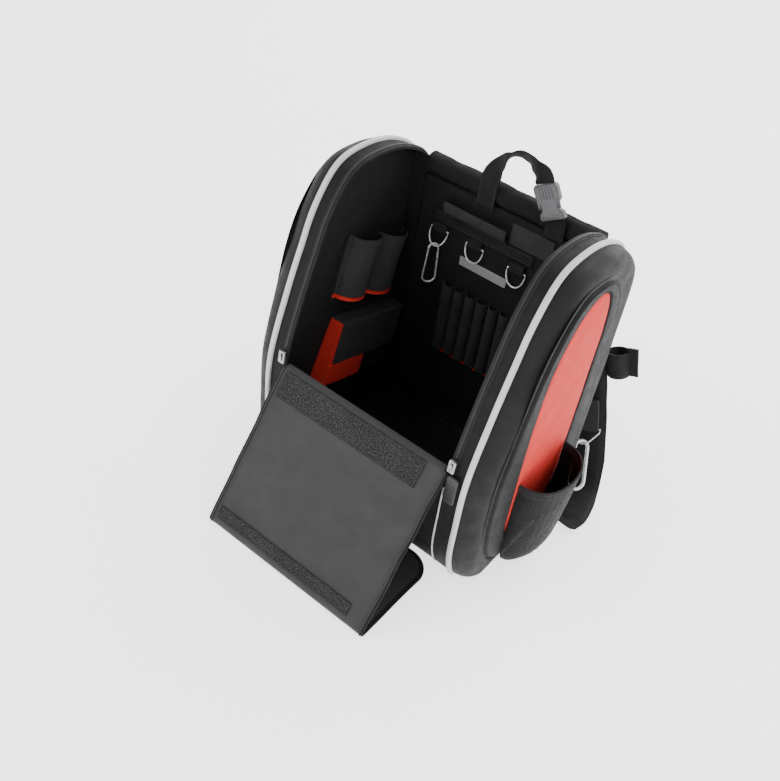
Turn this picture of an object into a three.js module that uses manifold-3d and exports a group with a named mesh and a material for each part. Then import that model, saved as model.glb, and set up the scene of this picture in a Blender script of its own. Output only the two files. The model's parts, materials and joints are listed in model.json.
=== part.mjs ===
// An open tool backpack standing on its base, its front cover zipped open and folded down to
// the floor. Millimetres, +Z up. Inside the bag group x runs to the wearer's right hand, y is
// measured from the back panel's inner face, negative to the front, and z from the floor.
import * as THREE from 'three';
import { mergeVertices } from 'three/addons/utils/BufferGeometryUtils.js';
import Module from 'manifold-3d';

const wasm = await Module();
wasm.setup();

// Main sizes of the bag
const INNER_WIDTH = 290;     // clear opening between the two zipped rims
const RIM_BAND = 30;         // width of the band from the rim to the piping
const OVERALL_DEPTH = 298;   // outer back face to the frontmost point of the rim
const HEIGHT = 495;          // floor to the crown of the rim
const BACK_PAD = 18;         // padded back panel
const WALL = 3;              // front wall and rim band
const BASE_BOARD = 4;        // stiffened base
const GAP = 0.3;             // clearance between pieces that touch
const BASE_LENGTH = 258;     // the base's footprint, front edge to the outer back face

// Moulded side shells
const SHELL_BULGE = 32;      // how far a side stands out past its piping
const SHELL_ROUND = 24;      // width of the rounded edge inside the piping
const SHELL_WALL = 4;
const GROOVE_DEPTH = 4;      // moulded groove round the insert's frame
const GROOVE_WIDTH = 5;
const FRAME_RISE = 4;        // the frame round the insert, over the shell's face
const INSERT_CROWN = 5;      // how far the cloth insert swells
const LINING = 2;
const LINING_SETBACK = 5;    // from the piping plane to the lining's outer face

// Trim along the rims
const PIPING_WIDTH = 8;
const PIPING_RISE = 4.5;
const FRONT_PIPING = 2;      // fine piping up the front corners
const ZIP_TAPE_WIDTH = 11;
const ZIP_TAPE_RISE = 2.2;
const SLIDER = { length: 20, width: 11, rise: 5 };
const PULL = { length: 48, width: 18, thickness: 4 };

// Front cover
const FLAP_HALF = 148;       // half its width, binding included
const FLAP_CLOTH = 2.5;
const FLAP_REACH = 424;      // how far its fold on the floor lies in front of the back panel
const FLAP_FOLD_RADIUS = 5;
const FLAP_TAIL = 162;       // length lying on the floor
const FLAP_CORNER = 42;
const FLAP_BINDING = 8.3;
const FLAP_LIFT = 0.9;       // the cloth's underside over the floor
const GRIP_TOP = 40;         // hook and loop strip below the hinge line
const GRIP_BOTTOM = 19;      // the one above the fold on the floor
const GRIP_THICKNESS = 1;

const CHARCOAL = 0x4a4a4c, BLACK = 0x161617, GREY_CLOTH = 0x58585a, RED = 0xc8463c;
const PALE = 0xd9d9d9, STEEL = 0xc4c4c8, BUCKLE_GREY = 0x77777a;

const bag = new THREE.Group();
bag.name = 'bag';
bag.position.y = BASE_LENGTH / 2 - BACK_PAD;

// Adds one named piece to a group
function piece(name, geometry, color, roughness = 0.9, metalness = 0, parent = bag) {
  const mesh = new THREE.Mesh(geometry, new THREE.MeshStandardMaterial({ color, roughness, metalness }));
  mesh.name = name;
  parent.add(mesh);
  return mesh;
}

// Closed surface through rings of equal point counts, each end closed on its middle
function loft(rings) {
  const count = rings[0].length;
  const centre = ring => ring.reduce((s, p) => s.add(p), new THREE.Vector3()).divideScalar(count);
  const points = [...rings.flat(), centre(rings[0]), centre(rings.at(-1))];
  const first = points.length - 2, last = points.length - 1, top = (rings.length - 1) * count;
  const faces = [];
  for (let k = 0; k < count; k++) {
    const next = (k + 1) % count;
    faces.push([first, next, k], [last, top + k, top + next]);
    for (let r = 0; r < rings.length - 1; r++) {
      const a = r * count + k, b = r * count + next;
      faces.push([a, b, b + count], [a, b + count, a + count]);
    }
  }
  let volume = 0;
  for (const [a, b, c] of faces) {
    volume += points[a].dot(new THREE.Vector3().crossVectors(points[b], points[c]));
  }
  const geometry = new THREE.BufferGeometry().setFromPoints(points);
  geometry.setIndex(faces.flatMap(([a, b, c]) => (volume > 0 ? [a, b, c] : [a, c, b])));
  return geometry;
}

// Shapes drawn in (y, z) become solids between two planes across the bag
function acrossX(shape, x0, x1) {
  const geometry = new THREE.ExtrudeGeometry(shape, { depth: x1 - x0, bevelEnabled: false, curveSegments: 8 });
  const toYZ = new THREE.Matrix4().makeBasis(
    new THREE.Vector3(0, 1, 0), new THREE.Vector3(0, 0, 1), new THREE.Vector3(1, 0, 0));
  return geometry.applyMatrix4(toYZ).translate(x0, 0, 0);
}

// Moves each point of a polyline to its left by a distance
function offset(points, distance, closed = false) {
  return points.map((p, i) => {
    const before = points[closed ? (i + points.length - 1) % points.length : Math.max(i - 1, 0)];
    const after = points[closed ? (i + 1) % points.length : Math.min(i + 1, points.length - 1)];
    const along = after.clone().sub(before).normalize();
    return new THREE.Vector2(p.x - along.y * distance, p.y + along.x * distance);
  });
}

// Leaves out the points of a closed outline that lie straight between their neighbours
function corners(points) {
  return points.filter((p, i) => {
    const before = p.clone().sub(points.at(i - 1));
    const after = points[(i + 1) % points.length].clone().sub(p);
    return Math.abs(before.cross(after)) > 1e-3 * before.length() * after.length();
  });
}

// The strip between two offsets of a polyline
function ribbon(points, near, far) {
  return new THREE.Shape(corners([...offset(points, near), ...offset(points, far).reverse()]));
}

// Joins and cuts, through closed solids
function solid(geometry) {
  const bare = geometry.clone();
  bare.deleteAttribute('normal');
  bare.deleteAttribute('uv');
  const source = mergeVertices(bare, 1e-3);
  return new wasm.Manifold(new wasm.Mesh({
    numProp: 3,
    vertProperties: new Float32Array(source.getAttribute('position').array),
    triVerts: new Uint32Array(source.getIndex().array),
  }));
}

const cut = (body, ...tools) => toGeometry(tools.reduce((s, t) => s.subtract(solid(t)), solid(body)));
const join = (body, ...more) => toGeometry(more.reduce((s, t) => s.add(solid(t)), solid(body)));
function toGeometry(result) {
  const mesh = result.getMesh();
  const geometry = new THREE.BufferGeometry();
  geometry.setAttribute('position', new THREE.BufferAttribute(mesh.vertProperties, 3));
  geometry.setIndex(new THREE.BufferAttribute(mesh.triVerts, 1));
  return geometry;
}

// One row for each station round a side, from the front foot up over the crown and down the
// back: the edge, the groove and the insert's seat. Columns ending in Back are shares of
// OVERALL_DEPTH from the outer back face forward, those ending in Up are shares of HEIGHT.
const STATIONS = [
  { edgeBack: 0.866, edgeUp: 0, grooveBack: 0.748, grooveUp: 0.057, seatBack: 0.648, seatUp: 0.111 },
  { edgeBack: 0.973, edgeUp: 0.101, grooveBack: 0.866, grooveUp: 0.152, seatBack: 0.718, seatUp: 0.172 },
  { edgeBack: 1, edgeUp: 0.283, grooveBack: 0.906, grooveUp: 0.293, seatBack: 0.732, seatUp: 0.303 },
  { edgeBack: 0.993, edgeUp: 0.444, grooveBack: 0.903, grooveUp: 0.434, seatBack: 0.735, seatUp: 0.434 },
  { edgeBack: 0.899, edgeUp: 0.646, grooveBack: 0.852, grooveUp: 0.596, seatBack: 0.732, seatUp: 0.586 },
  { edgeBack: 0.826, edgeUp: 0.768, grooveBack: 0.782, grooveUp: 0.752, seatBack: 0.698, seatUp: 0.737 },
  { edgeBack: 0.748, edgeUp: 0.883, grooveBack: 0.685, grooveUp: 0.869, seatBack: 0.631, seatUp: 0.828 },
  { edgeBack: 0.614, edgeUp: 0.98, grooveBack: 0.564, grooveUp: 0.935, seatBack: 0.53, seatUp: 0.893 },
  { edgeBack: 0.43, edgeUp: 1, grooveBack: 0.413, grooveUp: 0.939, seatBack: 0.413, seatUp: 0.915 },
  { edgeBack: 0.211, edgeUp: 0.976, grooveBack: 0.289, grooveUp: 0.913, seatBack: 0.329, seatUp: 0.895 },
  { edgeBack: 0.034, edgeUp: 0.905, grooveBack: 0.195, grooveUp: 0.838, seatBack: 0.282, seatUp: 0.828 },
  { edgeBack: 0, edgeUp: 0.7, grooveBack: 0.168, grooveUp: 0.646, seatBack: 0.275, seatUp: 0.646 },
  { edgeBack: 0, edgeUp: 0.364, grooveBack: 0.168, grooveUp: 0.364, seatBack: 0.282, seatUp: 0.364 },
  { edgeBack: 0, edgeUp: 0.121, grooveBack: 0.188, grooveUp: 0.162, seatBack: 0.302, seatUp: 0.182 },
  { edgeBack: 0.044, edgeUp: 0, grooveBack: 0.279, grooveUp: 0.065, seatBack: 0.379, seatUp: 0.121 },
  { edgeBack: 0.463, edgeUp: 0, grooveBack: 0.513, grooveUp: 0.048, seatBack: 0.513, seatUp: 0.101 },
];
const PER_STATION = 3;
const HINGE_STATION = 3;      // where the front cover folds over the front wall
const ROLL_STATION = 10;      // where the zips end at the back panel

const at = (back, up) => new THREE.Vector3(BACK_PAD - back * OVERALL_DEPTH, up * HEIGHT, 0);
function outlineCurve(which) {
  const points = STATIONS.map(s => at(s[which + 'Back'], s[which + 'Up']));
  return new THREE.CatmullRomCurve3(points, true, 'centripetal');
}

// Point of an outline at a station number, fractions between two stations allowed
function onOutline(curve, station) {
  const p = curve.getPoint((station / STATIONS.length + 1) % 1);
  return new THREE.Vector2(p.x, Math.max(p.y, 0));
}
function whole(which) {
  const curve = outlineCurve(which);
  return Array.from({ length: STATIONS.length * PER_STATION }, (_, i) =>
    onOutline(curve, i / PER_STATION));
}
const edge = whole('edge'), groove = whole('groove'), seat = whole('seat');

// The edge between two station numbers
function run(from, to) {
  return edge.slice(Math.round(from * PER_STATION), Math.round(to * PER_STATION) + 1);
}

// Outlines run from the front up and back, so their left is outside. Inner outlines also
// stay in front of the back panel's inner face.
function inset(distance) {
  return offset(edge, -distance, true).map(p =>
    new THREE.Vector2(Math.min(p.x, WALL - distance), p.y));
}

const RIM = INNER_WIDTH / 2;          // x of a rim
const EDGE_X = RIM + RIM_BAND;        // x of a piping's middle
const FACE_X = EDGE_X + SHELL_BULGE;  // x of a shell's face
const wallLine = run(0, HINGE_STATION), FRONT_TOP = wallLine.at(-1);

// Base, front wall and back panel between the rims
const PANEL_HALF = RIM - GAP;
piece('front_wall', acrossX(ribbon(wallLine, 0, -WALL), -PANEL_HALF, PANEL_HALF), CHARCOAL);

const baseFront = wallLine[0].x + WALL * 0.8;
piece('base_panel', new THREE.BoxGeometry(2 * PANEL_HALF, -GAP - baseFront, BASE_BOARD)
  .translate(0, (baseFront - GAP) / 2, BASE_BOARD / 2), BLACK);

const ROLL = { bottom: 0.866 * HEIGHT, top: 0.926 * HEIGHT, front: -2, back: 28, round: 13 };
function backPanelShape() {
  const s = new THREE.Shape();
  s.moveTo(0, 0);
  s.lineTo(0.25 * BACK_PAD, 0);
  s.quadraticCurveTo(BACK_PAD, 0, BACK_PAD, BACK_PAD);
  s.lineTo(BACK_PAD, ROLL.bottom - GAP);
  s.lineTo(0, ROLL.bottom - GAP);
  s.closePath();
  return s;
}
piece('back_panel', acrossX(backPanelShape(), -PANEL_HALF, PANEL_HALF), BLACK);

function roundedRect(x0, y0, x1, y1, r) {
  const s = new THREE.Shape();
  s.moveTo(x0 + r, y0);
  s.lineTo(x1 - r, y0).absarc(x1 - r, y0 + r, r, -Math.PI / 2, 0);
  s.lineTo(x1, y1 - r).absarc(x1 - r, y1 - r, r, 0, Math.PI / 2);
  s.lineTo(x0 + r, y1).absarc(x0 + r, y1 - r, r, Math.PI / 2, Math.PI);
  s.lineTo(x0, y0 + r).absarc(x0 + r, y0 + r, r, Math.PI, 1.5 * Math.PI);
  return s;
}
piece('back_roll', acrossX(roundedRect(ROLL.front, ROLL.bottom, ROLL.back, ROLL.top, ROLL.round),
  -PANEL_HALF, PANEL_HALF), BLACK);

// Side shell: its inner face first, out over the edge, then the rounded edge, the groove, the
// frame and the flat seat of the insert
function sideShell(side) {
  const ring = (x, points) => points.map(p => new THREE.Vector3(side * x, p.x, p.y));
  const toward = (a, b, distance) => a.map((p, i) => {
    const step = b[i].clone().sub(p);
    return p.clone().addScaledVector(step, Math.min(distance / step.length(), 1));
  });
  const x0 = EDGE_X + GAP, faceX = FACE_X;
  const rounded = (turn, wall) => ring(x0 + (faceX - wall - x0) * Math.sin(turn),
    toward(edge, groove, wall + (SHELL_ROUND - wall) * (1 - Math.cos(turn))));
  const step = Math.PI / 6;
  return loft([
    ring(faceX - SHELL_WALL - GROOVE_DEPTH / 2, seat),
    rounded(3 * step, SHELL_WALL + GROOVE_DEPTH / 2),
    rounded(1.5 * step, SHELL_WALL),
    rounded(0, SHELL_WALL),
    rounded(0, 0), rounded(step, 0), rounded(2 * step, 0), rounded(3 * step, 0),
    ring(faceX, groove),
    ring(faceX - GROOVE_DEPTH / 2, toward(groove, seat, GROOVE_WIDTH / 2)),
    ring(faceX + FRAME_RISE, toward(groove, seat, GROOVE_WIDTH)),
    ring(faceX + FRAME_RISE, toward(seat, groove, GROOVE_DEPTH / 2)),
    ring(faceX + FRAME_RISE, seat),
    ring(faceX, toward(seat, centreRing(seat), 0.5)),
  ]);
}
function centreRing(points) {
  const c = points.reduce((s, p) => s.add(p), new THREE.Vector2()).divideScalar(points.length);
  return points.map(() => c.clone());
}
function insert(side) {
  const middle = centreRing(seat);
  const ring = (x, share) => seat.map((p, i) => {
    const q = p.clone().lerp(middle[i], share);
    return new THREE.Vector3(side * x, q.x, q.y);
  });
  const clear = 0.02, under = FACE_X + GAP;
  return loft([ring(under, clear), ring(under + 0.4 * INSERT_CROWN, clear),
    ring(under + 0.85 * INSERT_CROWN, 0.3), ring(under + INSERT_CROWN, 0.65)]);
}
const bandOutside = new THREE.Shape(corners(edge)), bandInside = new THREE.Shape(corners(inset(WALL)));
const TRIM_START = 1 / PER_STATION;   // trims along the edge start just above the floor
const pipingLine = run(TRIM_START, ROLL_STATION);
const frontCorner = run(TRIM_START, HINGE_STATION - TRIM_START);
const zipLine = run(HINGE_STATION, ROLL_STATION);

for (const [name, side] of [['left', -1], ['right', 1]]) {
  const span = (shape, near, far) => acrossX(shape, Math.min(side * near, side * far),
    Math.max(side * near, side * far));
  piece('side_band_' + name, cut(span(bandOutside, RIM, EDGE_X),
    span(bandInside, RIM - WALL, EDGE_X + WALL)), CHARCOAL);
  piece('side_shell_' + name, sideShell(side), CHARCOAL, 0.75);
  piece('insert_' + name, insert(side), RED);
  const liningOutline = new THREE.Shape(corners(inset(WALL + GAP)));
  piece('lining_' + name, span(liningOutline, EDGE_X - LINING_SETBACK - LINING,
    EDGE_X - LINING_SETBACK), BLACK);
  piece('piping_' + name, span(ribbon(pipingLine, GAP, GAP + PIPING_RISE),
    EDGE_X - PIPING_WIDTH / 2, EDGE_X + PIPING_WIDTH / 2), PALE, 0.5);
  piece('front_piping_' + name, span(ribbon(frontCorner, GAP, GAP + FRONT_PIPING),
    RIM - FRONT_PIPING / 2, RIM + FRONT_PIPING / 2), PALE, 0.5);
  piece('zip_tape_' + name, span(ribbon(zipLine, GAP, GAP + ZIP_TAPE_RISE),
    RIM, RIM + ZIP_TAPE_WIDTH), BLACK);
}

// Front cover: over the front wall's top edge, straight down and forward, round a fold on the
// floor and flat back toward the bag. Its middle surface is flapLine, in (y, z).
const flapLine = (() => {
  const z = FLAP_LIFT + FLAP_CLOTH / 2;
  const top = FRONT_TOP.y + GAP + FLAP_CLOTH / 2;
  const start = new THREE.Vector2(FRONT_TOP.x + WALL, top);
  const over = new THREE.Vector2(FRONT_TOP.x - 2 * FLAP_CLOTH, top - FLAP_CLOTH);
  const centre = new THREE.Vector2(FLAP_FOLD_RADIUS - FLAP_REACH, z + FLAP_FOLD_RADIUS);
  const slope = Math.atan2(over.y - centre.y, over.x - centre.x);
  const from = slope + Math.PI / 2, to = 1.5 * Math.PI, steps = 5;
  const fold = Array.from({ length: steps + 1 }, (_, i) => {
    const turn = from + (to - from) * i / steps;
    return new THREE.Vector2(centre.x + FLAP_FOLD_RADIUS * Math.cos(turn),
      centre.y + FLAP_FOLD_RADIUS * Math.sin(turn));
  });
  const tail = new THREE.Vector2(centre.x + FLAP_TAIL, z);
  return [start, new THREE.Vector2(FRONT_TOP.x, top), over, ...fold, tail];
})();
const flapLengths = flapLine.reduce((all, p, i) =>
  (i ? [...all, all[i - 1] + p.distanceTo(flapLine[i - 1])] : [0]), []);
const FLAP_LENGTH = flapLengths.at(-1);
const flapFoldStart = flapLengths[3];

// Point of the cover at length s from its hinge, x across and h over its middle surface
function onFlap(s, x, h) {
  let i = flapLengths.findIndex(l => l >= s - 1e-6);
  if (i < 1) i = 1;
  const a = flapLine[i - 1], b = flapLine[i];
  const share = (s - flapLengths[i - 1]) / (flapLengths[i] - flapLengths[i - 1]);
  const along = (p, q) => q.clone().sub(p).normalize();
  const here = along(a, b);
  const atEnd = Math.abs(share - 1) < 1e-6 && i < flapLine.length - 1;
  const tangent = atEnd ? here.add(along(b, flapLine[i + 1])).normalize() : here;
  const p = a.clone().lerp(b, share);
  return new THREE.Vector3(x, p.x + tangent.y * h, p.y - tangent.x * h);
}

// A rail down one side of the cover and round its corner, an inset in from the cover's rim:
// length along the cover and distance from its middle line
function flapRail(inset) {
  const half = FLAP_HALF - inset, end = FLAP_LENGTH - inset, radius = FLAP_CORNER - inset;
  const corner = [0, 1, 2, 3, 4].map(i => {
    const turn = i * Math.PI / 8;
    return { s: end - radius + radius * Math.sin(turn), x: half - radius + radius * Math.cos(turn) };
  });
  return [...flapLengths.slice(0, -1).map(s => ({ s, x: half })), ...corner];
}
piece('front_cover', loft(flapRail(FLAP_BINDING + GAP).map(({ s, x }) => {
  const t = FLAP_CLOTH / 2;
  return [onFlap(s, -x, -t), onFlap(s, x, -t), onFlap(s, x, t), onFlap(s, -x, t)];
})), GREY_CLOTH);

// Zip binding round one half of the cover: down its side, round the corner and along the end
function binding(side) {
  const rail = inset => [...flapRail(inset).slice(2), { s: FLAP_LENGTH - inset, x: GAP }];
  const outside = rail(0), t = (FLAP_CLOTH + FLAP_LIFT) / 2;
  return loft(rail(FLAP_BINDING).map(({ s, x }, i) => {
    const outer = outside[i];
    return [onFlap(s, side * x, -t), onFlap(outer.s, side * outer.x, -t),
      onFlap(outer.s, side * outer.x, t), onFlap(s, side * x, t)];
  }));
}
piece('cover_zip_left', binding(-1), BLACK);
piece('cover_zip_right', binding(1), BLACK);

// Hook and loop strips lie on the cover's upper face
function grip(from, to, left, right) {
  const h = FLAP_CLOTH / 2 + GAP;
  return loft([from, to].map(s => [onFlap(s, left, h), onFlap(s, right, h),
    onFlap(s, right, h + GRIP_THICKNESS), onFlap(s, left, h + GRIP_THICKNESS)]));
}
const gripLeft = -FLAP_HALF + 1.5 * FLAP_BINDING, gripRight = FLAP_HALF - 4 * FLAP_BINDING;
const gripTopFrom = flapLengths[2] + GRIP_THICKNESS;
piece('cover_grip_top', grip(gripTopFrom, gripTopFrom + GRIP_TOP, gripLeft, gripRight), BLACK);
piece('cover_grip_bottom', grip(flapFoldStart - GRIP_BOTTOM - GRIP_THICKNESS,
  flapFoldStart - GRIP_THICKNESS, gripLeft, gripRight), BLACK);

// Zip sliders on the rims at the hinge line, the right one with its rubber pull hanging
function zipSlider(side) {
  const p = wallLine.at(-1), before = wallLine.at(-2);
  const up = p.clone().sub(before).normalize();
  const out = new THREE.Vector2(-up.y, up.x);
  const centre = p.clone().addScaledVector(up, SLIDER.length / 2 + ZIP_TAPE_RISE)
    .addScaledVector(out, ZIP_TAPE_RISE + 2 * GAP + SLIDER.rise / 2);
  const box = new THREE.BoxGeometry(SLIDER.width, SLIDER.rise, SLIDER.length);
  return box.rotateX(Math.atan2(-up.x, up.y))
    .translate(side * (RIM + ZIP_TAPE_WIDTH / 2), centre.x, centre.y);
}
piece('zip_slider_left', zipSlider(-1), STEEL, 0.3, 1);
piece('zip_slider_right', zipSlider(1), STEEL, 0.3, 1);
function zipPull(side) {
  const outline = roundedRect(-PULL.width / 2, -PULL.length, PULL.width / 2, 0, 0.3 * PULL.width);
  const front = FRONT_TOP.x - FRONT_PIPING - 2 * GAP - 0.6 * PULL.thickness;
  return new THREE.ExtrudeGeometry(outline, { depth: PULL.thickness, bevelEnabled: false, curveSegments: 4 })
    .rotateX(Math.PI / 2)
    .translate(side * (FLAP_HALF + 2 * GAP + PULL.width / 2), front, FRONT_TOP.y - 2 * GAP);
}
piece('zip_pull_right', zipPull(1), BUCKLE_GREY, 0.7);

// Inside walls, as groups whose x runs along the wall, y up and z into the bag
function wallGroup(name, along, up, into, origin) {
  const group = new THREE.Group();
  group.name = name;
  group.setRotationFromMatrix(new THREE.Matrix4().makeBasis(along, up, into));
  group.position.copy(origin);
  bag.add(group);
  return group;
}
const X = new THREE.Vector3(1, 0, 0), Y = new THREE.Vector3(0, 1, 0), Z = new THREE.Vector3(0, 0, 1);
const leftWall = wallGroup('left_wall', Y, Z, X,
  new THREE.Vector3(-(EDGE_X - LINING_SETBACK - LINING), 0, 0));
const backWall = wallGroup('back_wall', X, Z, Y.clone().negate(), new THREE.Vector3());

function extrude(shape, depth) {
  return new THREE.ExtrudeGeometry(shape, { depth, bevelEnabled: false, curveSegments: 4 });
}
// A box given by its lower corner and its size, in a wall's own directions
function block(x, y, z, width, height, depth) {
  return new THREE.BoxGeometry(width, height, depth)
    .translate(x + width / 2, y + height / 2, z + depth / 2);
}
// Cloth sewn down between sleeves that stand off the wall, from y = 0 up
function sleeves({ width, height, count, bulge, seam, cloth }) {
  const pitch = (width - seam) / count, steps = 8, line = [new THREE.Vector2(-width / 2, 0)];
  for (let k = 0; k < count; k++) {
    const x0 = -width / 2 + seam + k * pitch, x1 = x0 + pitch - seam;
    for (let i = 0; i <= steps; i++) {
      const turn = Math.PI * i / steps;
      line.push(new THREE.Vector2((x0 + x1) / 2 - (x1 - x0) / 2 * Math.cos(turn), bulge * Math.sin(turn)));
    }
  }
  line.push(new THREE.Vector2(width / 2, 0));
  const wave = new THREE.Shape([...line, ...offset(line, cloth).reverse()]);
  return extrude(wave, height).rotateX(Math.PI / 2).translate(0, height, 0);
}
// Tool holder high on the left wall: a board, two open sleeves and their red hem
const HOLDER = { width: 140, height: 92, count: 2, bulge: 22, seam: 7, cloth: 2 };
const HOLDER_TILT = -16, HOLDER_AT = { back: -83, up: 302 };
const HOLDER_BOARD = { thickness: 2, below: 18, aside: 4 };
const HOLDER_HEM = 6;
const holder = new THREE.Group();
holder.name = 'tool_holder';
holder.position.set(HOLDER_AT.back, HOLDER_AT.up, GAP);
holder.rotation.z = THREE.MathUtils.degToRad(HOLDER_TILT);
leftWall.add(holder);
piece('holder_board', extrude(roundedRect(-HOLDER.width / 2 - HOLDER_BOARD.aside,
  -HOLDER.height / 2 - HOLDER_BOARD.below, HOLDER.width / 2, HOLDER.height / 2, 8),
  HOLDER_BOARD.thickness), BLACK, 0.9, 0, holder);
const onBoard = HOLDER_BOARD.thickness + GAP;
piece('holder_sleeves', sleeves(HOLDER).translate(0, -HOLDER.height / 2, onBoard), GREY_CLOTH, 0.9, 0, holder);
piece('holder_hem', sleeves({ ...HOLDER, height: HOLDER_HEM })
  .translate(0, -HOLDER.height / 2 - HOLDER_HEM - GAP, onBoard), RED, 0.9, 0, holder);

// Lidded pouch below it
const POUCH = { width: 150, height: 108, depth: 24, cloth: 2, lid: 72, lidOverhang: 3 };
const POUCH_TILT = -14, POUCH_AT = { back: -95, up: 160 };
const POUCH_GUSSET = 18;
const pouch = new THREE.Group();
pouch.name = 'pouch';
pouch.position.set(POUCH_AT.back, POUCH_AT.up, GAP);
pouch.rotation.z = THREE.MathUtils.degToRad(POUCH_TILT);
leftWall.add(pouch);
const { cloth } = POUCH, bodyTop = POUCH.height / 2 - cloth - GAP;
piece('pouch_body', cut(
  block(-POUCH.width / 2, -POUCH.height / 2, 0, POUCH.width, POUCH.height - cloth - GAP, POUCH.depth),
  block(-POUCH.width / 2 + cloth, -POUCH.height / 2 + cloth, cloth, POUCH.width - 2 * cloth,
    POUCH.height, POUCH.depth - 2 * cloth)), BLACK, 0.9, 0, pouch);
const lidFront = POUCH.depth + GAP;
piece('pouch_lid', extrude(new THREE.Shape([
  new THREE.Vector2(0, bodyTop + GAP), new THREE.Vector2(lidFront, bodyTop + GAP),
  new THREE.Vector2(lidFront, POUCH.height / 2 - POUCH.lid),
  new THREE.Vector2(lidFront + cloth, POUCH.height / 2 - POUCH.lid),
  new THREE.Vector2(lidFront + cloth, POUCH.height / 2 - cloth),
  new THREE.Vector2(lidFront, POUCH.height / 2), new THREE.Vector2(0, POUCH.height / 2),
]), POUCH.width + 2 * POUCH.lidOverhang)
  .rotateY(-Math.PI / 2).translate(POUCH.width / 2 + POUCH.lidOverhang, 0, 0), GREY_CLOTH, 0.9, 0, pouch);
// Red cloth: a gusset folded out at the pouch's front end, joined to a bare panel below the lid
const gusset = extrude(new THREE.Shape([
  new THREE.Vector2(-POUCH.width / 2 - GAP, bodyTop), new THREE.Vector2(-POUCH.width / 2 - GAP - cloth, bodyTop),
  new THREE.Vector2(-POUCH.width / 2 - POUCH_GUSSET, -POUCH.height / 2),
  new THREE.Vector2(-POUCH.width / 2 - GAP, -POUCH.height / 2),
]), lidFront + cloth);
const redPanel = block(-POUCH.width / 2 - cloth, -POUCH.height / 2, lidFront,
  POUCH.width / 2 + cloth, POUCH.height - POUCH.lid - GAP, cloth);
const gussetTrim = block(-POUCH.width, POUCH.height / 2 - POUCH.lid - GAP, lidFront - GAP,
  2 * POUCH.width, POUCH.lid, 2 * cloth);
piece('pouch_gusset', join(cut(gusset, gussetTrim), redPanel), RED, 0.9, 0, pouch);

// Organiser on the back panel: webbing with three rings, a flat pocket laid along it, a patch,
// a bare label and a row of upright sleeves
const BAR = { left: -114, right: 60, bottom: 366, height: 18, cloth: 2.5 };
const RING = { width: 34, wire: 2.8, drop: 30 };
const RING_TABS = [
  { index: 1, x: -100, top: 366, lean: 20 },
  { index: 2, x: -36, top: 366, lean: 4 },
  { index: 3, x: 39, top: 362, lean: 4 },
];
const RING_TAB = { width: 24, height: 14, depth: 7 };
const FLAT_POCKET = { left: -94, right: 14, bottom: 386, height: 22, bulge: 13, cloth: 2 };
const PATCH = { left: 16, right: 86, bottom: 386, top: 420, cloth: 2 };
const LABEL = { left: -58, right: 26, bottom: 312, height: 15, cloth: 1 };
const SLEEVES = { width: 130, height: 122, count: 6, bulge: 9, seam: 4, cloth: 1.5 };
const SLEEVES_AT = { x: -14, bottom: 150 };
const SLEEVE_HEM = { height: 9, strip: 3, teeth: 6 };
const wall = (name, geometry, color, roughness, metalness) =>
  piece(name, geometry.translate(0, 0, GAP), color, roughness, metalness, backWall);

wall('ring_webbing', block(BAR.left, BAR.bottom, 0, BAR.right - BAR.left, BAR.height, BAR.cloth), BLACK);
wall('organiser_pocket', extrude(ribbon([0, 1, 2, 3, 4, 5].map(i => {
  const turn = (i / 5) * Math.PI * 0.62;
  return new THREE.Vector2(FLAT_POCKET.bulge * Math.sin(turn),
    FLAT_POCKET.bottom + FLAT_POCKET.height * (1 - Math.cos(turn)) / 1.37);
}), -FLAT_POCKET.cloth, 0), FLAT_POCKET.right - FLAT_POCKET.left)
  .rotateY(-Math.PI / 2).translate(FLAT_POCKET.right, 0, 0), GREY_CLOTH);
wall('organiser_patch', block(PATCH.left, PATCH.bottom, 0, PATCH.right - PATCH.left,
  PATCH.top - PATCH.bottom, PATCH.cloth), GREY_CLOTH);
wall('organiser_label', block(LABEL.left, LABEL.bottom, 0, LABEL.right - LABEL.left, LABEL.height, LABEL.cloth), PALE);
wall('organiser_sleeves', sleeves(SLEEVES).translate(SLEEVES_AT.x, SLEEVES_AT.bottom, 0), BLACK);
// The hem below the sleeves is a strip with one red tooth hanging from each sleeve
const teeth = [new THREE.Vector2(-SLEEVES.width / 2, 0), new THREE.Vector2(SLEEVES.width / 2, 0)];
for (let k = SLEEVE_HEM.teeth; k > 0; k--) {
  const pitch = SLEEVES.width / SLEEVE_HEM.teeth, right = -SLEEVES.width / 2 + k * pitch;
  teeth.push(new THREE.Vector2(right - 0.05 * pitch, -SLEEVE_HEM.height),
    new THREE.Vector2(right - 0.75 * pitch, -SLEEVE_HEM.strip));
}
wall('sleeve_hem', extrude(new THREE.Shape([...teeth, new THREE.Vector2(-SLEEVES.width / 2, -SLEEVE_HEM.strip)]),
  SLEEVES.cloth).translate(SLEEVES_AT.x, SLEEVES_AT.bottom - GAP, 0), RED);

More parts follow.
